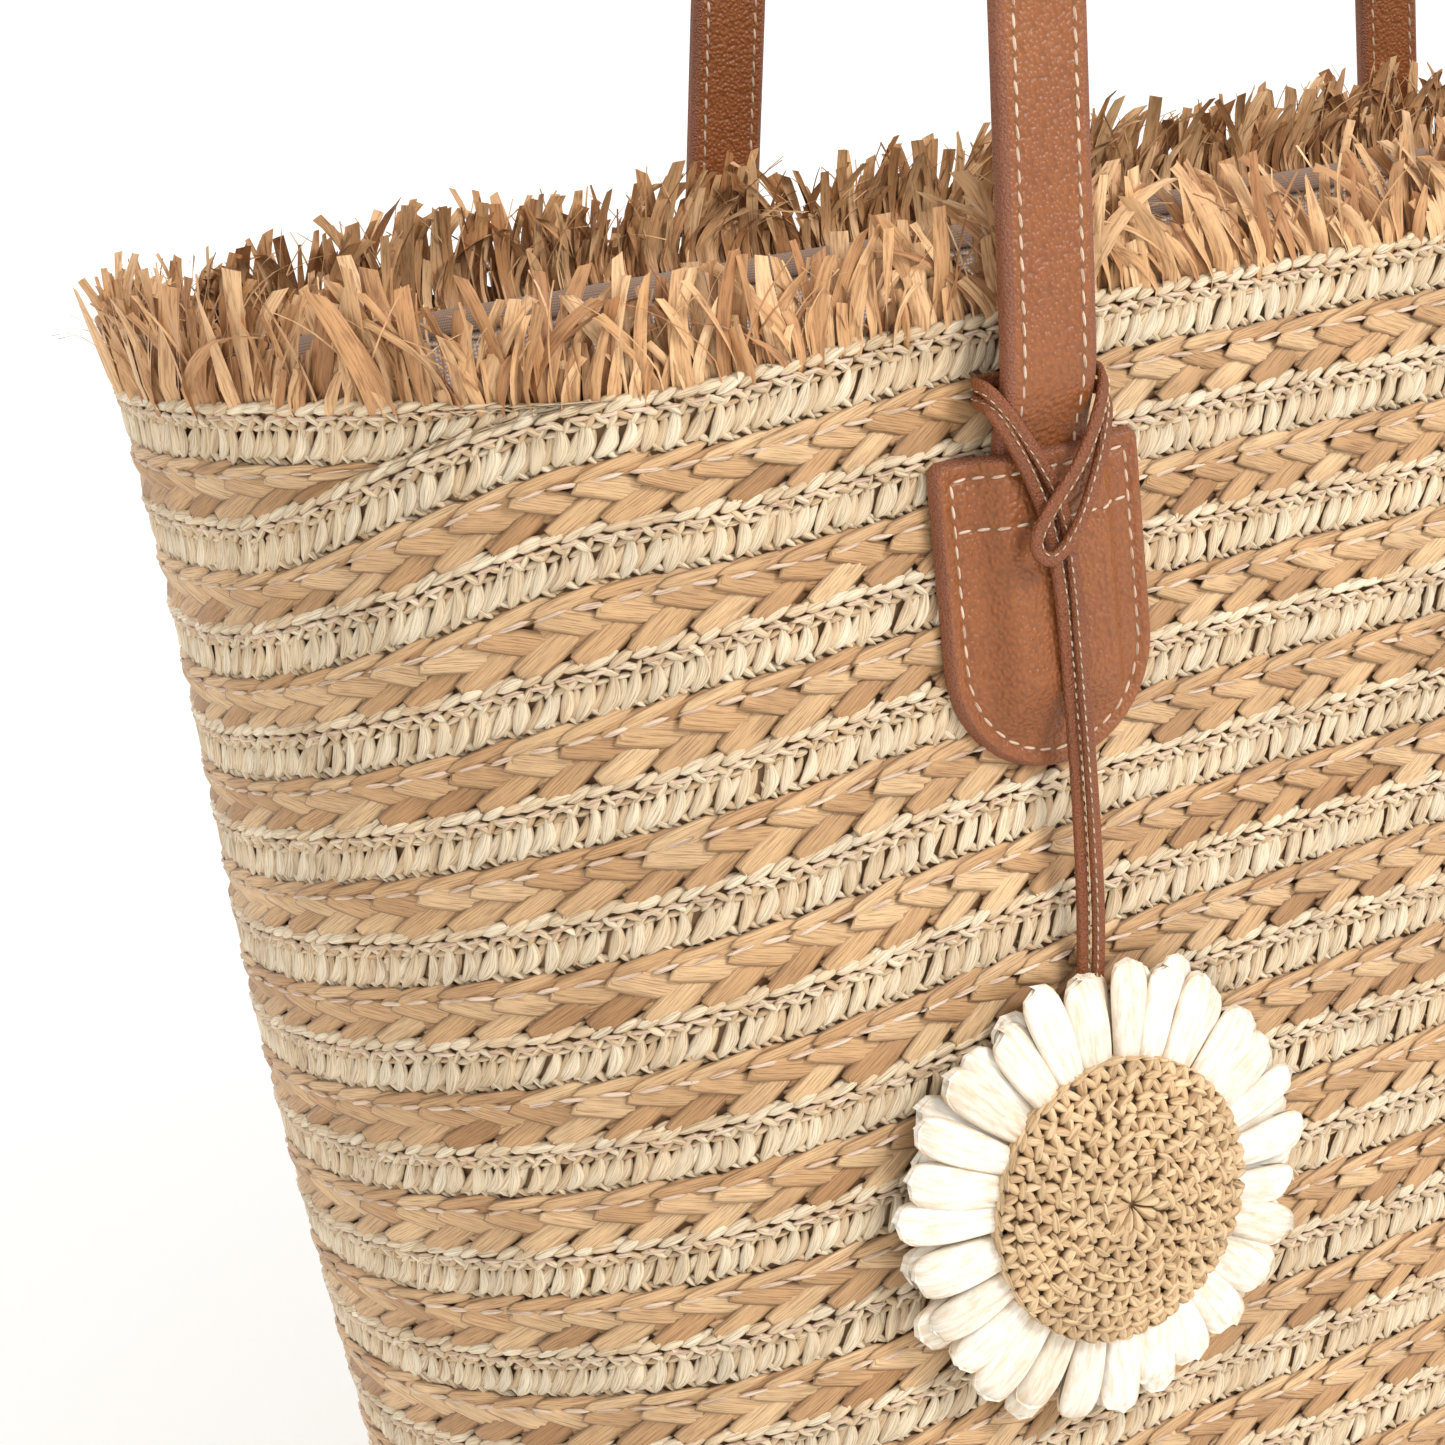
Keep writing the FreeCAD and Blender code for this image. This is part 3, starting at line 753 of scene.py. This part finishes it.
def binding_mesh():
    """The folded strip at the lining's top edge and its row of stitches."""
    around = np.linspace(0, 1, 321)[None, None, :]
    turn = np.linspace(0, 2 * np.pi, 13)[None, :, None]
    out = -(lining_inset + 0.9 * mm) + 1.15 * mm * np.cos(turn)
    up = lining_top - 2.0 * mm + 2.9 * mm * np.sign(np.sin(turn)) * np.abs(np.sin(turn)) ** 0.8
    heap = Heap()
    uv = np.stack(np.broadcast_arrays(around * girth(rim_height) * 100, turn * 0.2), axis=-1)
    heap.add(wall(around, up, out), uv, [0.5], 0.0)
    count = int(girth(rim_height) / (3.4 * mm))
    flat, uv, edge = blade_row(np.zeros(count), np.zeros(count), np.zeros(count), 2.5 * mm, 0.7 * mm,
                               np.radians(spread(-6, 6, count)), 0.35 * mm, rows=5, columns=3, point=4, tip=1.0)
    place = column((np.arange(count) + 0.5) / count) + flat[0] / girth(rim_height)
    inside = -(lining_inset + 0.9 * mm) - flat[2]
    heap.add(wall(place, lining_top - 6.4 * mm + flat[1], inside), uv, spread(0.2, 0.8, count), edge, slot=1)
    return heap.mesh("lining_binding")


binding = add_object("lining_binding", binding_mesh(), hem_cloth, thread_cream)
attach(binding, "bag")
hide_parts("lining_hem")

# %% [markdown]
# ## The fringe
# The fringe is the free ends of a flat straw ribbon, sewn in behind the top braid: a dense row of
# upright pleats at the foot, then loose strands that lean, cross and bend. Neighbours lean alike,
# so they form tufts. Beside the straps the strands lean inwards, because the handles tip over them.

# %% Fringe strands
strap_places = [(strap_x, -1), (sum(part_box("front_patch_right")[i][0] for i in (0, 1)) / 2, -1)]
strap_places += [(-x, 1) for x, _ in strap_places]


def tuft_wave(along, seed, scale):
    """Smooth random values along the rim, so that neighbours do alike."""
    knots = np.random.default_rng(seed).normal(0, 1, int(girth(rim_height) / scale))
    knots = np.append(knots, knots[0])
    return np.interp(along % 1.0, np.linspace(0, 1, len(knots)), knots)


def clear_of_straps(points):
    """Keep strands behind the straps' inner faces where a handle can tip in."""
    x, y, z = points[..., 0], points[..., 1], points[..., 2]
    limit = half_depth + 0.3 * mm - 0.15 * np.clip(z - rim_height, 0, 1)
    for place, side in strap_places:
        near = (np.abs(x - place) < 17 * mm) & (np.sign(y) == side)
        y = np.where(near & (np.abs(y) > limit), side * limit, y)
    return np.stack([x, y, z], axis=-1)


def fringe_strands(heap, count, width_low, width_high, rows, columns, reach, wild, from_up=-3.0):
    """Ribbons that stand up from the rim."""
    along = (np.arange(count) + chance.uniform(0, 1, count)) / count
    tall = (reach + 1.6 * tuft_wave(along, 3, 0.014) + chance.normal(0, 2.2, count)) * mm
    lean = 0.26 * tuft_wave(along, 5, 0.010) + chance.normal(0, 0.32 * wild, count)
    tip_out = 0.07 * tuft_wave(along, 9, 0.018) - 0.13 + chance.normal(0, 0.11 * wild, count)
    bend = chance.normal(0, 1.7 * wild, count) * mm
    bend_out = chance.normal(0, 1.6 * wild, count) * mm
    depth = spread(-4.6, 0.6, count) * mm
    yaw_foot, yaw_tip = spread(-1.35, 1.35, count), spread(-0.9, 0.9, count)
    wide = spread(width_low, width_high, count) * mm
    t = np.linspace(0, 1, rows)[None, :, None]
    w = np.linspace(-1, 1, columns)[None, None, :]
    loose = np.clip((t - 0.22) / 0.78, 0, 1)
    grow = column(tall) * t
    slip = column(lean * tall) * loose ** 1.3 + column(bend) * loose ** 2.4
    out = column(depth) + column(tip_out * tall) * loose ** 1.2 + column(bend_out) * loose ** 3
    out = out - 1.1 * mm * np.clip(1 - t * 4, 0, 1)
    up = from_up * mm + grow * np.cos(np.clip(np.abs(column(lean)) * loose, 0, 1.1))
    up = up - np.abs(column(bend)) * 0.3 * loose ** 3
    yaw = column(yaw_foot) * (1 - loose) + column(yaw_tip) * loose
    half = column(wide) / 2 * (0.82 + 0.18 * np.sin(np.pi * t)) + 0 * t
    cut = column(spread(-0.5, 0.5, count)) * w * half * (t > 0.95)
    across = w * half
    fold = column(spread(0.0, 0.16, count)) * column(wide) * (1 - w * w) * (t > 0)
    slip = slip + across * np.cos(yaw) - fold * np.sin(yaw)
    out = out + across * np.sin(yaw) + fold * np.cos(yaw)
    place = column(along) + slip / girth(rim_height)
    points = clear_of_straps(wall(place, rim_height + np.clip(up + cut, -0.01, 24 * mm), out))
    fibre = grow * 100 + column(spread(0, 40, count))
    uv = np.stack(np.broadcast_arrays(fibre, across * 100), axis=-1)
    # The edge value darkens each strand towards its foot: painted shade among the packed pleats at the rim.
    edge = np.broadcast_to(np.clip(1 - t * 3.2, 0, 1) * 0.9, along.shape + (rows, columns))
    heap.add(points, uv, spread(0, 1, count), edge)


fringe_heap = Heap()
fringe_strands(fringe_heap, 950, 1.7, 4.4, 9, 4, 22.0, 1.0)
fringe_strands(fringe_heap, 1500, 1.6, 2.8, 6, 4, 12.5, 0.5)
fringe_strands(fringe_heap, 900, 0.3, 0.6, 8, 2, 21.5, 1.6)
fringe = add_object("fringe_strands", fringe_heap.mesh("fringe_strands"), fringe_straw)
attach(fringe, "bag")
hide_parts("fringe")
print("fringe:", len(fringe.data.polygons), "faces")

# %% [markdown]
# ## Straps
# Each handle is one strap of two leather layers, from behind one patch, over the arch and down
# behind the other. It is one mesh, swept with a flat section along a smooth line, with painted
# edges, a groove where the layers meet and two rows of stitching on each face. It is shaped with a
# bend at the rim: below the bend it lies on the bag, above it it forms the handle.

# %% Sweeps and stitches
def unit(vectors):
    """Vectors scaled to length one."""
    return vectors / np.linalg.norm(vectors, axis=-1, keepdims=True)


def along_line(line):
    """Unit tangents of a line of points."""
    return unit(np.gradient(line, axis=0))


def sweep(heap, line, outward, section, slots):
    """A closed tube: section points (across, out) carried along a line; its ends are closed."""
    tangent = along_line(line)
    across = unit(np.cross(tangent, outward))
    outward = np.cross(across, tangent)
    section = np.array(section)
    points = line[:, None] + across[:, None] * section[None, :, :1] + outward[:, None] * section[None, :, 1:]
    first, last = line[:1, None] + 0 * points[:1], line[-1:, None] + 0 * points[-1:]
    points = np.concatenate([first, points, last])[None]
    travel = np.concatenate([[0], np.cumsum(np.linalg.norm(np.diff(line, axis=0), axis=1))])
    travel = np.concatenate([travel[:1], travel, travel[-1:]])
    uv = np.stack(np.broadcast_arrays(travel[:, None] * 100, section[None, :, 0] * 100), axis=-1)
    heap.add(points, uv, [0.5], 0.0, np.array(slots))


def rounded_strip(width, thick, groove=0.0):
    """Section of a flat strip with rounded edges; groove is how deep its edges dip in the middle."""
    half, radius = width / 2, thick / 2
    right = [(half - radius + radius * math.cos(a) - groove * math.exp(-(a / 0.3) ** 2), radius * math.sin(a))
             for a in np.linspace(-1.45, 1.45, 9)]
    flat = [(x, radius) for x in np.linspace(half - radius, radius - half, 9)[1:-1]]
    top = right + flat
    bottom = [(-x, -y) for x, y in top]
    return top + bottom + top[:1]


def lay_stitches(heap, line, outward, pitch, thread_slot, hole_slot, length=0.74, width=0.62 * mm, slant=7):
    """Stitches along a line, slightly slanted, with a flat dark mark between them: painted shade in the needle
    hole.
    """
    travel = np.concatenate([[0], np.cumsum(np.linalg.norm(np.diff(line, axis=0), axis=1))])
    count = max(1, int(round(travel[-1] / pitch)))
    at = (np.arange(count) + 0.5) / count * travel[-1]
    for shift, slot in ((0.0, thread_slot), (0.5, hole_slot)):
        where = at + shift * pitch
        where = where[where < travel[-1]]
        number = len(where)
        centre = np.stack([np.interp(where, travel, line[:, i]) for i in range(3)], axis=-1)
        normal = unit(np.stack([np.interp(where, travel, outward[:, i]) for i in range(3)], axis=-1))
        heading = along_line(line)
        tangent = unit(np.stack([np.interp(where, travel, heading[:, i]) for i in range(3)], axis=-1))
        side = np.cross(normal, tangent)
        if slot == thread_slot:
            flat, uv, edge = blade_row(np.zeros(number), np.zeros(number), np.full(number, 0.02 * mm),
                                       pitch * length, width, np.radians(slant + spread(-3, 3, number)),
                                       0.34 * mm, rows=6, columns=5, point=4, tip=0.9)
        else:
            # The needle hole is a flat mark in the dark shade material: painted shade, not a real hole.
            flat, uv, edge = blade_row(np.zeros(number), np.zeros(number), np.full(number, 0.05 * mm),
                                       0.85 * mm, 0.6 * mm, np.zeros(number), 0.02 * mm, rows=4, columns=3)
        points = sum(part[..., None] * axis[:, None, None]
                     for part, axis in zip(flat, (tangent, side, normal)))
        heap.add(points + centre[:, None, None], uv, spread(0.3, 1, number), edge, slot)


# %% Handles
strap_width = 19 * mm
strap_thick = 4 * mm
handle_half = (strap_places[1][0] - strap_x) / 2
front_middle = (strap_places[1][0] + strap_x) / 2
joints = frame["record"]["behaviour"]["joints"]
pivot = next(joint["pos_m"] for joint in joints if joint["name"] == "front_handle_fold")
pivot_off, pivot_height = -pivot[1] - half_depth + 2 * mm, pivot[2]
leg_lean = math.radians(5)
arch_centre = 178 * mm
arch_radius = (handle_half - arch_centre * math.tan(leg_lean)) * math.cos(leg_lean)
leg_length = arch_centre / math.cos(leg_lean) - math.tan(leg_lean) * arch_radius


def handle_line(lean):
    """Middle line and outward directions of a front handle, tipped in by lean degrees."""
    rise = np.linspace(0, leg_length, 60)
    leg = np.stack([-handle_half + rise * math.sin(leg_lean), 0 * rise, rise * math.cos(leg_lean)], axis=-1)
    angle = np.linspace(math.pi - leg_lean, leg_lean, 90)[1:-1]
    arch = np.stack([arch_radius * np.cos(angle), 0 * angle, arch_centre + arch_radius * np.sin(angle)], axis=-1)
    mirror = np.array([-1, 1, 1])
    line = np.concatenate([leg, arch, leg[::-1] * mirror])
    travel = np.concatenate([[0], np.cumsum(np.linalg.norm(np.diff(line, axis=0), axis=1))])
    share = np.clip((np.minimum(travel, travel[-1] - travel) - 0.095) / (travel[-1] / 2 - 0.095), 0, 1)
    turn = math.pi / 2 * share * share * (3 - 2 * share)
    tangent = along_line(line)
    upward = np.cross(tangent, np.array([0, -1.0, 0]))
    upward = upward * np.sign((upward * (line - np.array([0, 0, arch_centre]))).sum(1, keepdims=True))
    outward = np.array([0, -1.0, 0]) * np.cos(turn)[:, None] + upward * np.sin(turn)[:, None]
    tip = math.radians(lean)
    lean_in = np.array([[1, 0, 0], [0, math.cos(tip), math.sin(tip)], [0, -math.sin(tip), math.cos(tip)]])
    line = line @ lean_in.T + np.array([front_middle, -half_depth - pivot_off, pivot_height])
    outward = outward @ lean_in.T
    foot_up = np.array([227, 240, 255, 268, 272, 276, 280, 284]) * mm
    foot_off = np.interp(foot_up, [0, 272.4 * mm, 284.4 * mm], [2.4 * mm, 2.4 * mm, pivot_off])
    foot = np.stack([np.full(8, strap_x), -half_depth - foot_off, foot_up], axis=-1)
    other = foot * mirror + np.array([2 * front_middle, 0, 0])
    line = np.concatenate([foot, line, other[::-1]])
    front = np.tile([[0, -1.0, 0]], (8, 1))
    outward = np.concatenate([front, outward, front])
    return even_line(line, outward, 2.6 * mm)


def even_line(line, outward, step):
    """The same line with even steps, its kinks rounded over about a centimetre."""
    travel = np.concatenate([[0], np.cumsum(np.linalg.norm(np.diff(line, axis=0), axis=1))])
    at = np.linspace(0, travel[-1], int(travel[-1] / step))
    line = np.stack([np.interp(at, travel, line[:, i]) for i in range(3)], axis=-1)
    outward = np.stack([np.interp(at, travel, outward[:, i]) for i in range(3)], axis=-1)
    for _ in range(3):
        line[1:-1] = (line[:-2] + 2 * line[1:-1] + line[2:]) / 4
        outward[1:-1] = (outward[:-2] + 2 * outward[1:-1] + outward[2:]) / 4
    return line, unit(outward)


def strap_mesh(name, line, outward):
    """One strap with its stitching."""
    heap = Heap()
    section = rounded_strip(strap_width, strap_thick, 0.35 * mm)
    slots = [1 if abs(a[0] + b[0]) / 2 > strap_width / 2 - 1.6 * mm else 0 for a, b in zip(section, section[1:])]
    sweep(heap, line, outward, section, slots)
    across = unit(np.cross(along_line(line), outward))
    for face in (1, -1):
        for side in (1, -1):
            row = line + across * side * (strap_width / 2 - 3.4 * mm) + outward * face * strap_thick / 2
            lay_stitches(heap, row[3:-3], outward[3:-3] * face, 3.6 * mm, 2, 3)
    return heap.mesh(name)


for side, lean in (("front", 2.5), ("back", 8.0)):
    line, outward = handle_line(lean)
    if side == "back":
        line, outward = line * np.array([-1, -1, 1]), outward * np.array([-1, -1, 1])
    name = side + "_strap"
    mesh = strap_mesh(name, line, outward)
    strap = add_object(name, mesh, strap_leather, edge_leather, thread_cream, shade_straw)
    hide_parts(*(side + "_strap_" + part for part in ("outer", "inner", "end_left", "end_right")))
    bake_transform(strap)
print("strap length", round(len(line) * 2.6 * mm, 3), "m")

# %% [markdown]
# ## Patches
# A patch is a U of leather that is sewn flat on the wall and rises over the strap end. Its cut
# edge is round and painted, and the thread pulls a shallow groove round it. It is a grid over the
# U, raised by the distance from its edge, with a back face that leaves room for the strap.

# %% Patches
patch_half = (patch_high[0] - patch_low[0]) / 2
patch_top, patch_foot = patch_high[2], patch_low[2]
patch_centre = patch_foot + patch_half
stitch_inset = 3.4 * mm


def patch_rise(x, z):
    """How far the patch is lifted by the strap end under it."""
    sideways = smooth_step((14.8 * mm - np.abs(x)) / (5.2 * mm))
    upwards = smooth_step((z - patch_foot - 6 * mm) / (11 * mm))
    return 4.0 * mm * sideways * upwards


def patch_edge(x, z):
    """Distance of a point of the patch from its edge."""
    corner = 2.5 * mm
    side = np.where(z > patch_centre, patch_half - np.abs(x), patch_half - np.hypot(x, z - patch_centre))
    top = patch_top - z
    inner = np.hypot(np.clip(corner - side, 0, None), np.clip(corner - top, 0, None))
    return np.where((side < corner) & (top < corner), corner - inner, np.minimum(side, top))


def patch_face(x, z):
    """Standoff of the patch's front face from the wall."""
    inset = np.clip(patch_edge(x, z), 0, 1)
    edge = np.sqrt(np.clip(1 - (1 - np.clip(inset / (1.3 * mm), 0, 1)) ** 2, 0, 1))
    groove = np.exp(-((inset - stitch_inset) / (0.75 * mm)) ** 2)
    cross_seam = 0.8 * np.exp(-((patch_top - 12.4 * mm - z) / (0.75 * mm)) ** 2)
    groove = np.maximum(groove, cross_seam * (inset > stitch_inset))
    pillow = 0.35 * mm * smooth_step((inset - stitch_inset) / (5 * mm))
    return 0.3 * mm + patch_rise(x, z) + (2.7 * mm - 0.45 * mm * groove + pillow) * edge


def patch_mesh(name, middle):
    """One patch at x = middle on the front wall."""
    heap = Heap()
    rows = patch_top - (patch_top - patch_foot) * (1 - np.cos(np.linspace(0, math.pi, 96))) / 2
    sides = np.sin(np.linspace(-math.pi / 2, math.pi / 2, 73))
    below = np.clip(patch_centre - rows, 0, patch_half)
    half = np.sqrt(np.clip(patch_half ** 2 - below ** 2, 0, None))
    half = np.minimum(half, patch_half - 2.5 * mm + np.sqrt(np.clip(
        (2.5 * mm) ** 2 - np.clip(2.5 * mm - (patch_top - rows), 0, None) ** 2, 0, None)))
    x = sides[None, :] * half[:, None]
    z = rows[:, None] + 0 * x
    front = patch_face(x, z)
    back = 0.3 * mm + patch_rise(x, z) * 1.04
    uv = np.stack([x * 100, z * 100], axis=-1)
    for off in (front, back):
        points = np.stack([middle + x, -half_depth - off, z], axis=-1)
        inset = patch_edge(x, z)
        slots = np.where((inset[:-1, :-1] + inset[1:, 1:]) / 2 < 1.0 * mm, 1, 0)
        heap.add(points[None], uv, [0.5], 0.0, slots)
    add_patch_stitches(heap, middle)
    return heap.mesh(name)


def add_patch_stitches(heap, middle):
    """Stitching round the U, across its top and once more below that."""
    reach = patch_half - stitch_inset
    down = np.linspace(patch_top - stitch_inset, patch_centre, 30)
    angle = np.linspace(math.pi, 2 * math.pi, 40)
    foot = [(reach * math.cos(a), patch_centre + reach * math.sin(a)) for a in angle[1:-1]]
    around = [(-reach, z) for z in down] + foot
    around += [(reach, z) for z in down[::-1]]
    level = [(x, patch_top - stitch_inset) for x in np.linspace(-reach, reach, 24)]
    lower = [(x, patch_top - 12.4 * mm) for x in np.linspace(-reach, reach, 24)]
    for path in (around, level, lower):
        x, z = np.array(path).T
        small = 0.2 * mm
        slope_x = (patch_face(x + small, z) - patch_face(x - small, z)) / (2 * small)
        slope_z = (patch_face(x, z + small) - patch_face(x, z - small)) / (2 * small)
        normal = unit(np.stack([-slope_x, -np.ones_like(x), -slope_z], axis=-1))
        line = np.stack([middle + x, -half_depth - patch_face(x, z), z], axis=-1)
        lay_stitches(heap, line, normal, 3.5 * mm, 2, 3, slant=5)


for side, middle, turned in (
        ("front_patch_left", strap_places[0][0], False), ("front_patch_right", strap_places[1][0], False),
        ("back_patch_right", strap_places[0][0], True), ("back_patch_left", strap_places[1][0], True)):
    name = side + "_leather"
    mesh = patch_mesh(name, middle)
    if turned:
        mesh.transform(Matrix.Rotation(math.pi, 4, "Z"))
    piece = add_object(name, mesh, strap_leather, edge_leather, thread_cream, shade_straw)
    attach(piece, "bag")
    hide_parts(side)

# %% [markdown]
# ## The lace
# The lace is a narrow strip of leather folded and stitched along its middle. Its section is swept
# along the route from above, its flat side turned away from whatever it lies on: away from the
# strap while it goes round it, and towards the front where it hangs.

# %% Lace
def lace_outward(line):
    """Directions away from what the lace lies on."""
    across = line[:, 0] - strap_x
    off = -line[:, 1] - half_depth
    around = np.stack([across / (12 * mm) ** 2, -(off - 5 * mm) / (4 * mm) ** 2, 0 * across], axis=-1)
    share = smooth_step((line[:, 2] - 262 * mm) / (14 * mm))[:, None]
    sideways = around / (np.linalg.norm(around, axis=1, keepdims=True) + 1e-9)
    return unit(sideways * share + np.array([0, -1.0, 0]) * (1 - share))


lace_heap = Heap()
lace_section = rounded_strip(2.6 * mm, 1.5 * mm)
outward = lace_outward(lace_line)
sweep(lace_heap, lace_line, outward, lace_section, [0] * (len(lace_section) - 1))
seam_line = lace_line + outward * 0.72 * mm + np.cross(along_line(lace_line), outward) * 0.7 * mm
lay_stitches(lace_heap, seam_line, outward, 1.9 * mm, 1, 2, length=0.66, width=0.22 * mm, slant=4)
lace = add_object("lace", lace_heap.mesh("lace"), lace_leather, thread_cream, shade_straw)
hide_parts("lace_hitch", "lace_strand_left", "lace_strand_right")
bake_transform(lace)

# %% [markdown]
# ## The flower
# The petals are loops of wide, soft, nearly white straw ribbon, creased lengthwise, in two rows.
# The heart is a domed disc crocheted in rounds: two fat legs and a bar to each stitch, eight long
# stitches round the hole in the middle.

# %% Petals
flower_low, flower_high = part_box("petals_front")
flower_z = (flower_low[2] + flower_high[2]) / 2
petal_reach = (flower_high[2] - flower_low[2]) / 2
flower_x = strap_x - 1.8 * mm


def petals(name, count, first, layer_off, slant):
    """A ring of creased petals at a standoff from the wall."""
    angle = first + (np.arange(count) + spread(-0.17, 0.17, count)) * 2 * np.pi / count
    reach = petal_reach * spread(0.93, 1.03, count)
    wide = spread(7.6, 9.6, count) * mm
    t = np.linspace(0, 1, 18)[None, :, None]
    w = np.linspace(-1, 1, 15)[None, None, :]
    radius = 9 * mm + (column(reach) - 9 * mm) * (1 - (1 - t) ** 1.25)
    swell = 0.36 + 0.64 * smooth_step(t / 0.75)
    blunt = np.sqrt(np.clip(1 - np.clip((t - 0.74) / 0.26, 0, 1) ** 2.4, 0, 1))
    half = column(wide) / 2 * swell * blunt
    crease = 0
    for centre, deep in ((-0.42, 0.9), (0.06, 0.7), (0.5, 0.9)):
        middle = column(centre + spread(-0.14, 0.14, count))
        middle = middle + 0.06 * np.sin(4 * t + column(spread(0, 6, count)))
        crease = crease + column(spread(0.3, 1.0, count)) * deep * np.exp(-((w - middle) / 0.085) ** 2)
    round_up = (1 - w ** 2) ** 0.5
    lift = 2.0 * mm * round_up * blunt - 0.8 * mm * crease * np.sin(np.pi * np.clip(t * 0.98, 0, 1)) ** 0.5
    lift = lift + (1.3 * mm * np.sin(np.pi * t) - 1.6 * mm * t ** 3) + column(spread(-0.6, 0.9, count)) * mm * t
    sway = column(spread(-0.9, 0.9, count)) * mm * t ** 2
    across = w * half + sway
    tilt = column(slant * mm + spread(-0.4, 0.4, count) * mm) * w * swell
    cos, sin = np.cos(column(angle)), np.sin(column(angle))
    uv = np.stack(np.broadcast_arrays(radius * 100 + column(spread(0, 30, count)), across * 100), axis=-1)
    heap = Heap()
    for face in (lift + tilt, tilt - 0.5 * mm * round_up * blunt):
        off = layer_off + face
        points = np.stack([flower_x + radius * cos - across * sin, -half_depth - off,
                           flower_z + radius * sin + across * cos], axis=-1)
        # The edge value darkens each petal along its rims and creases: painted shade.
        edge = np.clip(np.abs(w) ** 3 + 0.8 * crease * (t < 0.97), 0, 1) + 0 * t + column(np.zeros(count))
        heap.add(points, uv, spread(0, 1, count), edge)
    return add_object(name, heap.mesh(name), petal_straw)


petals_behind = petals("petals_behind", 26, 0.1, 7.0 * mm, 0.3)
petals_before = petals("petals_before", 27, 0.0, 9.0 * mm, 0.5)

# %% Crocheted heart
disc_radius = (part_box("flower_disc")[1][0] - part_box("flower_disc")[0][0]) / 2
disc_off = -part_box("flower_disc")[1][1] - half_depth - 1.2 * mm


def dome(radius):
    """Standoff of the disc's front at a radius, from its back face."""
    share = np.clip(radius / disc_radius, 0, 1)
    return (2.2 + 4.4 * (1 - share ** 2.4) - 1.6 * np.exp(-(share / 0.16) ** 2)) * mm


def on_disc(angle, radius, flat):
    """Bend flat blades (along the round, outwards from the middle, up) onto the dome."""
    around, outwards, up = flat
    r = np.clip(column(radius) + outwards, 0.2 * mm, disc_radius)
    over = np.clip(column(radius) + outwards - disc_radius, 0, None)
    a = column(angle) + around / np.maximum(column(radius), 1.5 * mm)
    r_up = r + up * 0.35 * np.clip(r / disc_radius, 0, 1) ** 3
    off = disc_off + dome(r) + up - over
    return np.stack([flower_x + r_up * np.cos(a), -half_depth - off, flower_z + r_up * np.sin(a)], axis=-1)


def crochet_mesh():
    """Rounds of crochet stitches over a dark dome, whose colour is painted shade between the stitches."""
    heap = Heap()
    centre_count = 9
    spots = np.arange(centre_count) * 2 * np.pi / centre_count
    flat, uv, edge = blade_row(np.zeros(centre_count), np.zeros(centre_count), np.full(centre_count, 0.3 * mm),
                               5.0 * mm, 2.1 * mm, np.radians(90 + spread(-9, 9, centre_count)), 1.3 * mm,
                               rows=9, columns=7, point=2.5, creases=2.0)
    heap.add(on_disc(spots, np.full(centre_count, 3.1 * mm), flat), uv, spread(0.3, 1, centre_count), edge)
    round_step = 3.25 * mm
    for turn in range(1, 8):
        radius = 2.6 * mm + turn * round_step
        count = int(round(2 * np.pi * radius / (3.7 * mm)))
        spots = (np.arange(count) + 0.5 * (turn % 2) + spread(-0.1, 0.1, count)) * 2 * np.pi / count
        spots = spots + turn * 0.21
        # The last column is the low end of each part's tone span: the small bar that lies deepest starts
        # darkest, as painted shade, on top of random tone.
        for shift, out, up, length, width, lean, crown, tone in (
                (-0.75, 0.0, 0.5, 4.2, 1.9, 58, 1.5, 0.3), (0.75, 0.1, 0.45, 4.1, 1.8, 122, 1.45, 0.3),
                (0.0, 1.45, 0.85, 4.1, 1.6, -14, 1.2, 0.5), (1.1, -1.4, 0.1, 2.8, 1.3, 25, 0.9, 0.0)):
            flat, uv, edge = blade_row(np.full(count, shift * mm) + spread(-0.15, 0.15, count) * mm,
                                       np.full(count, out * mm) + spread(-0.2, 0.2, count) * mm,
                                       np.full(count, up * mm), length * mm * spread(0.85, 1.12, count),
                                       width * mm * spread(0.85, 1.15, count),
                                       np.radians(lean + spread(-12, 12, count)), crown * mm,
                                       rows=7, columns=7, point=2.5, creases=2.0, crease=0.14)
            heap.add(on_disc(spots, np.full(count, radius), flat), uv, spread(tone, 1, count), edge)
    # The dome and its back take the dark shade material: painted shade seen between the stitches.
    around = np.linspace(0, 2 * np.pi, 65)[None, None, :]
    radii = np.linspace(0.0, 1.0, 12)[None, :, None] * disc_radius * 0.95
    for off in (disc_off + dome(radii) - 0.2 * mm, disc_off + 0.1 * mm + 0 * radii):
        points = np.stack(np.broadcast_arrays(flower_x + radii * np.cos(around), -half_depth - off,
                                              flower_z + radii * np.sin(around)), axis=-1)
        heap.add(points, np.zeros(2), [0.0], 0.0, slot=1)
    count = int(2 * np.pi * disc_radius / (3.0 * mm))
    spots = np.arange(count) * 2 * np.pi / count
    for lift, lean in ((1.7, 12), (0.4, -12)):
        flat, uv, edge = blade_row(np.zeros(count), np.zeros(count), np.zeros(count), 4.6 * mm, 2.3 * mm,
                                   np.radians(lean + spread(-6, 6, count)), 1.0 * mm,
                                   rows=7, columns=7, creases=2.0)
        a = column(spots) + flat[0] / disc_radius
        r = disc_radius - 0.2 * mm + flat[2]
        points = np.stack([flower_x + r * np.cos(a), -half_depth - disc_off - lift * mm - flat[1],
                           flower_z + r * np.sin(a)], axis=-1)
        heap.add(points, uv, spread(0.2, 1, count), edge)
    return heap.mesh("crocheted_heart")


heart = add_object("crocheted_heart", crochet_mesh(), crochet_straw, shade_cream)
for piece, node, slot in (
        (petals_behind, "petals_back", "petal_straw"), (petals_before, "petals_front", "petal_straw"),
        (heart, "flower_disc", "crochet_straw")):
    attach(piece, "flower")
    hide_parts(node)
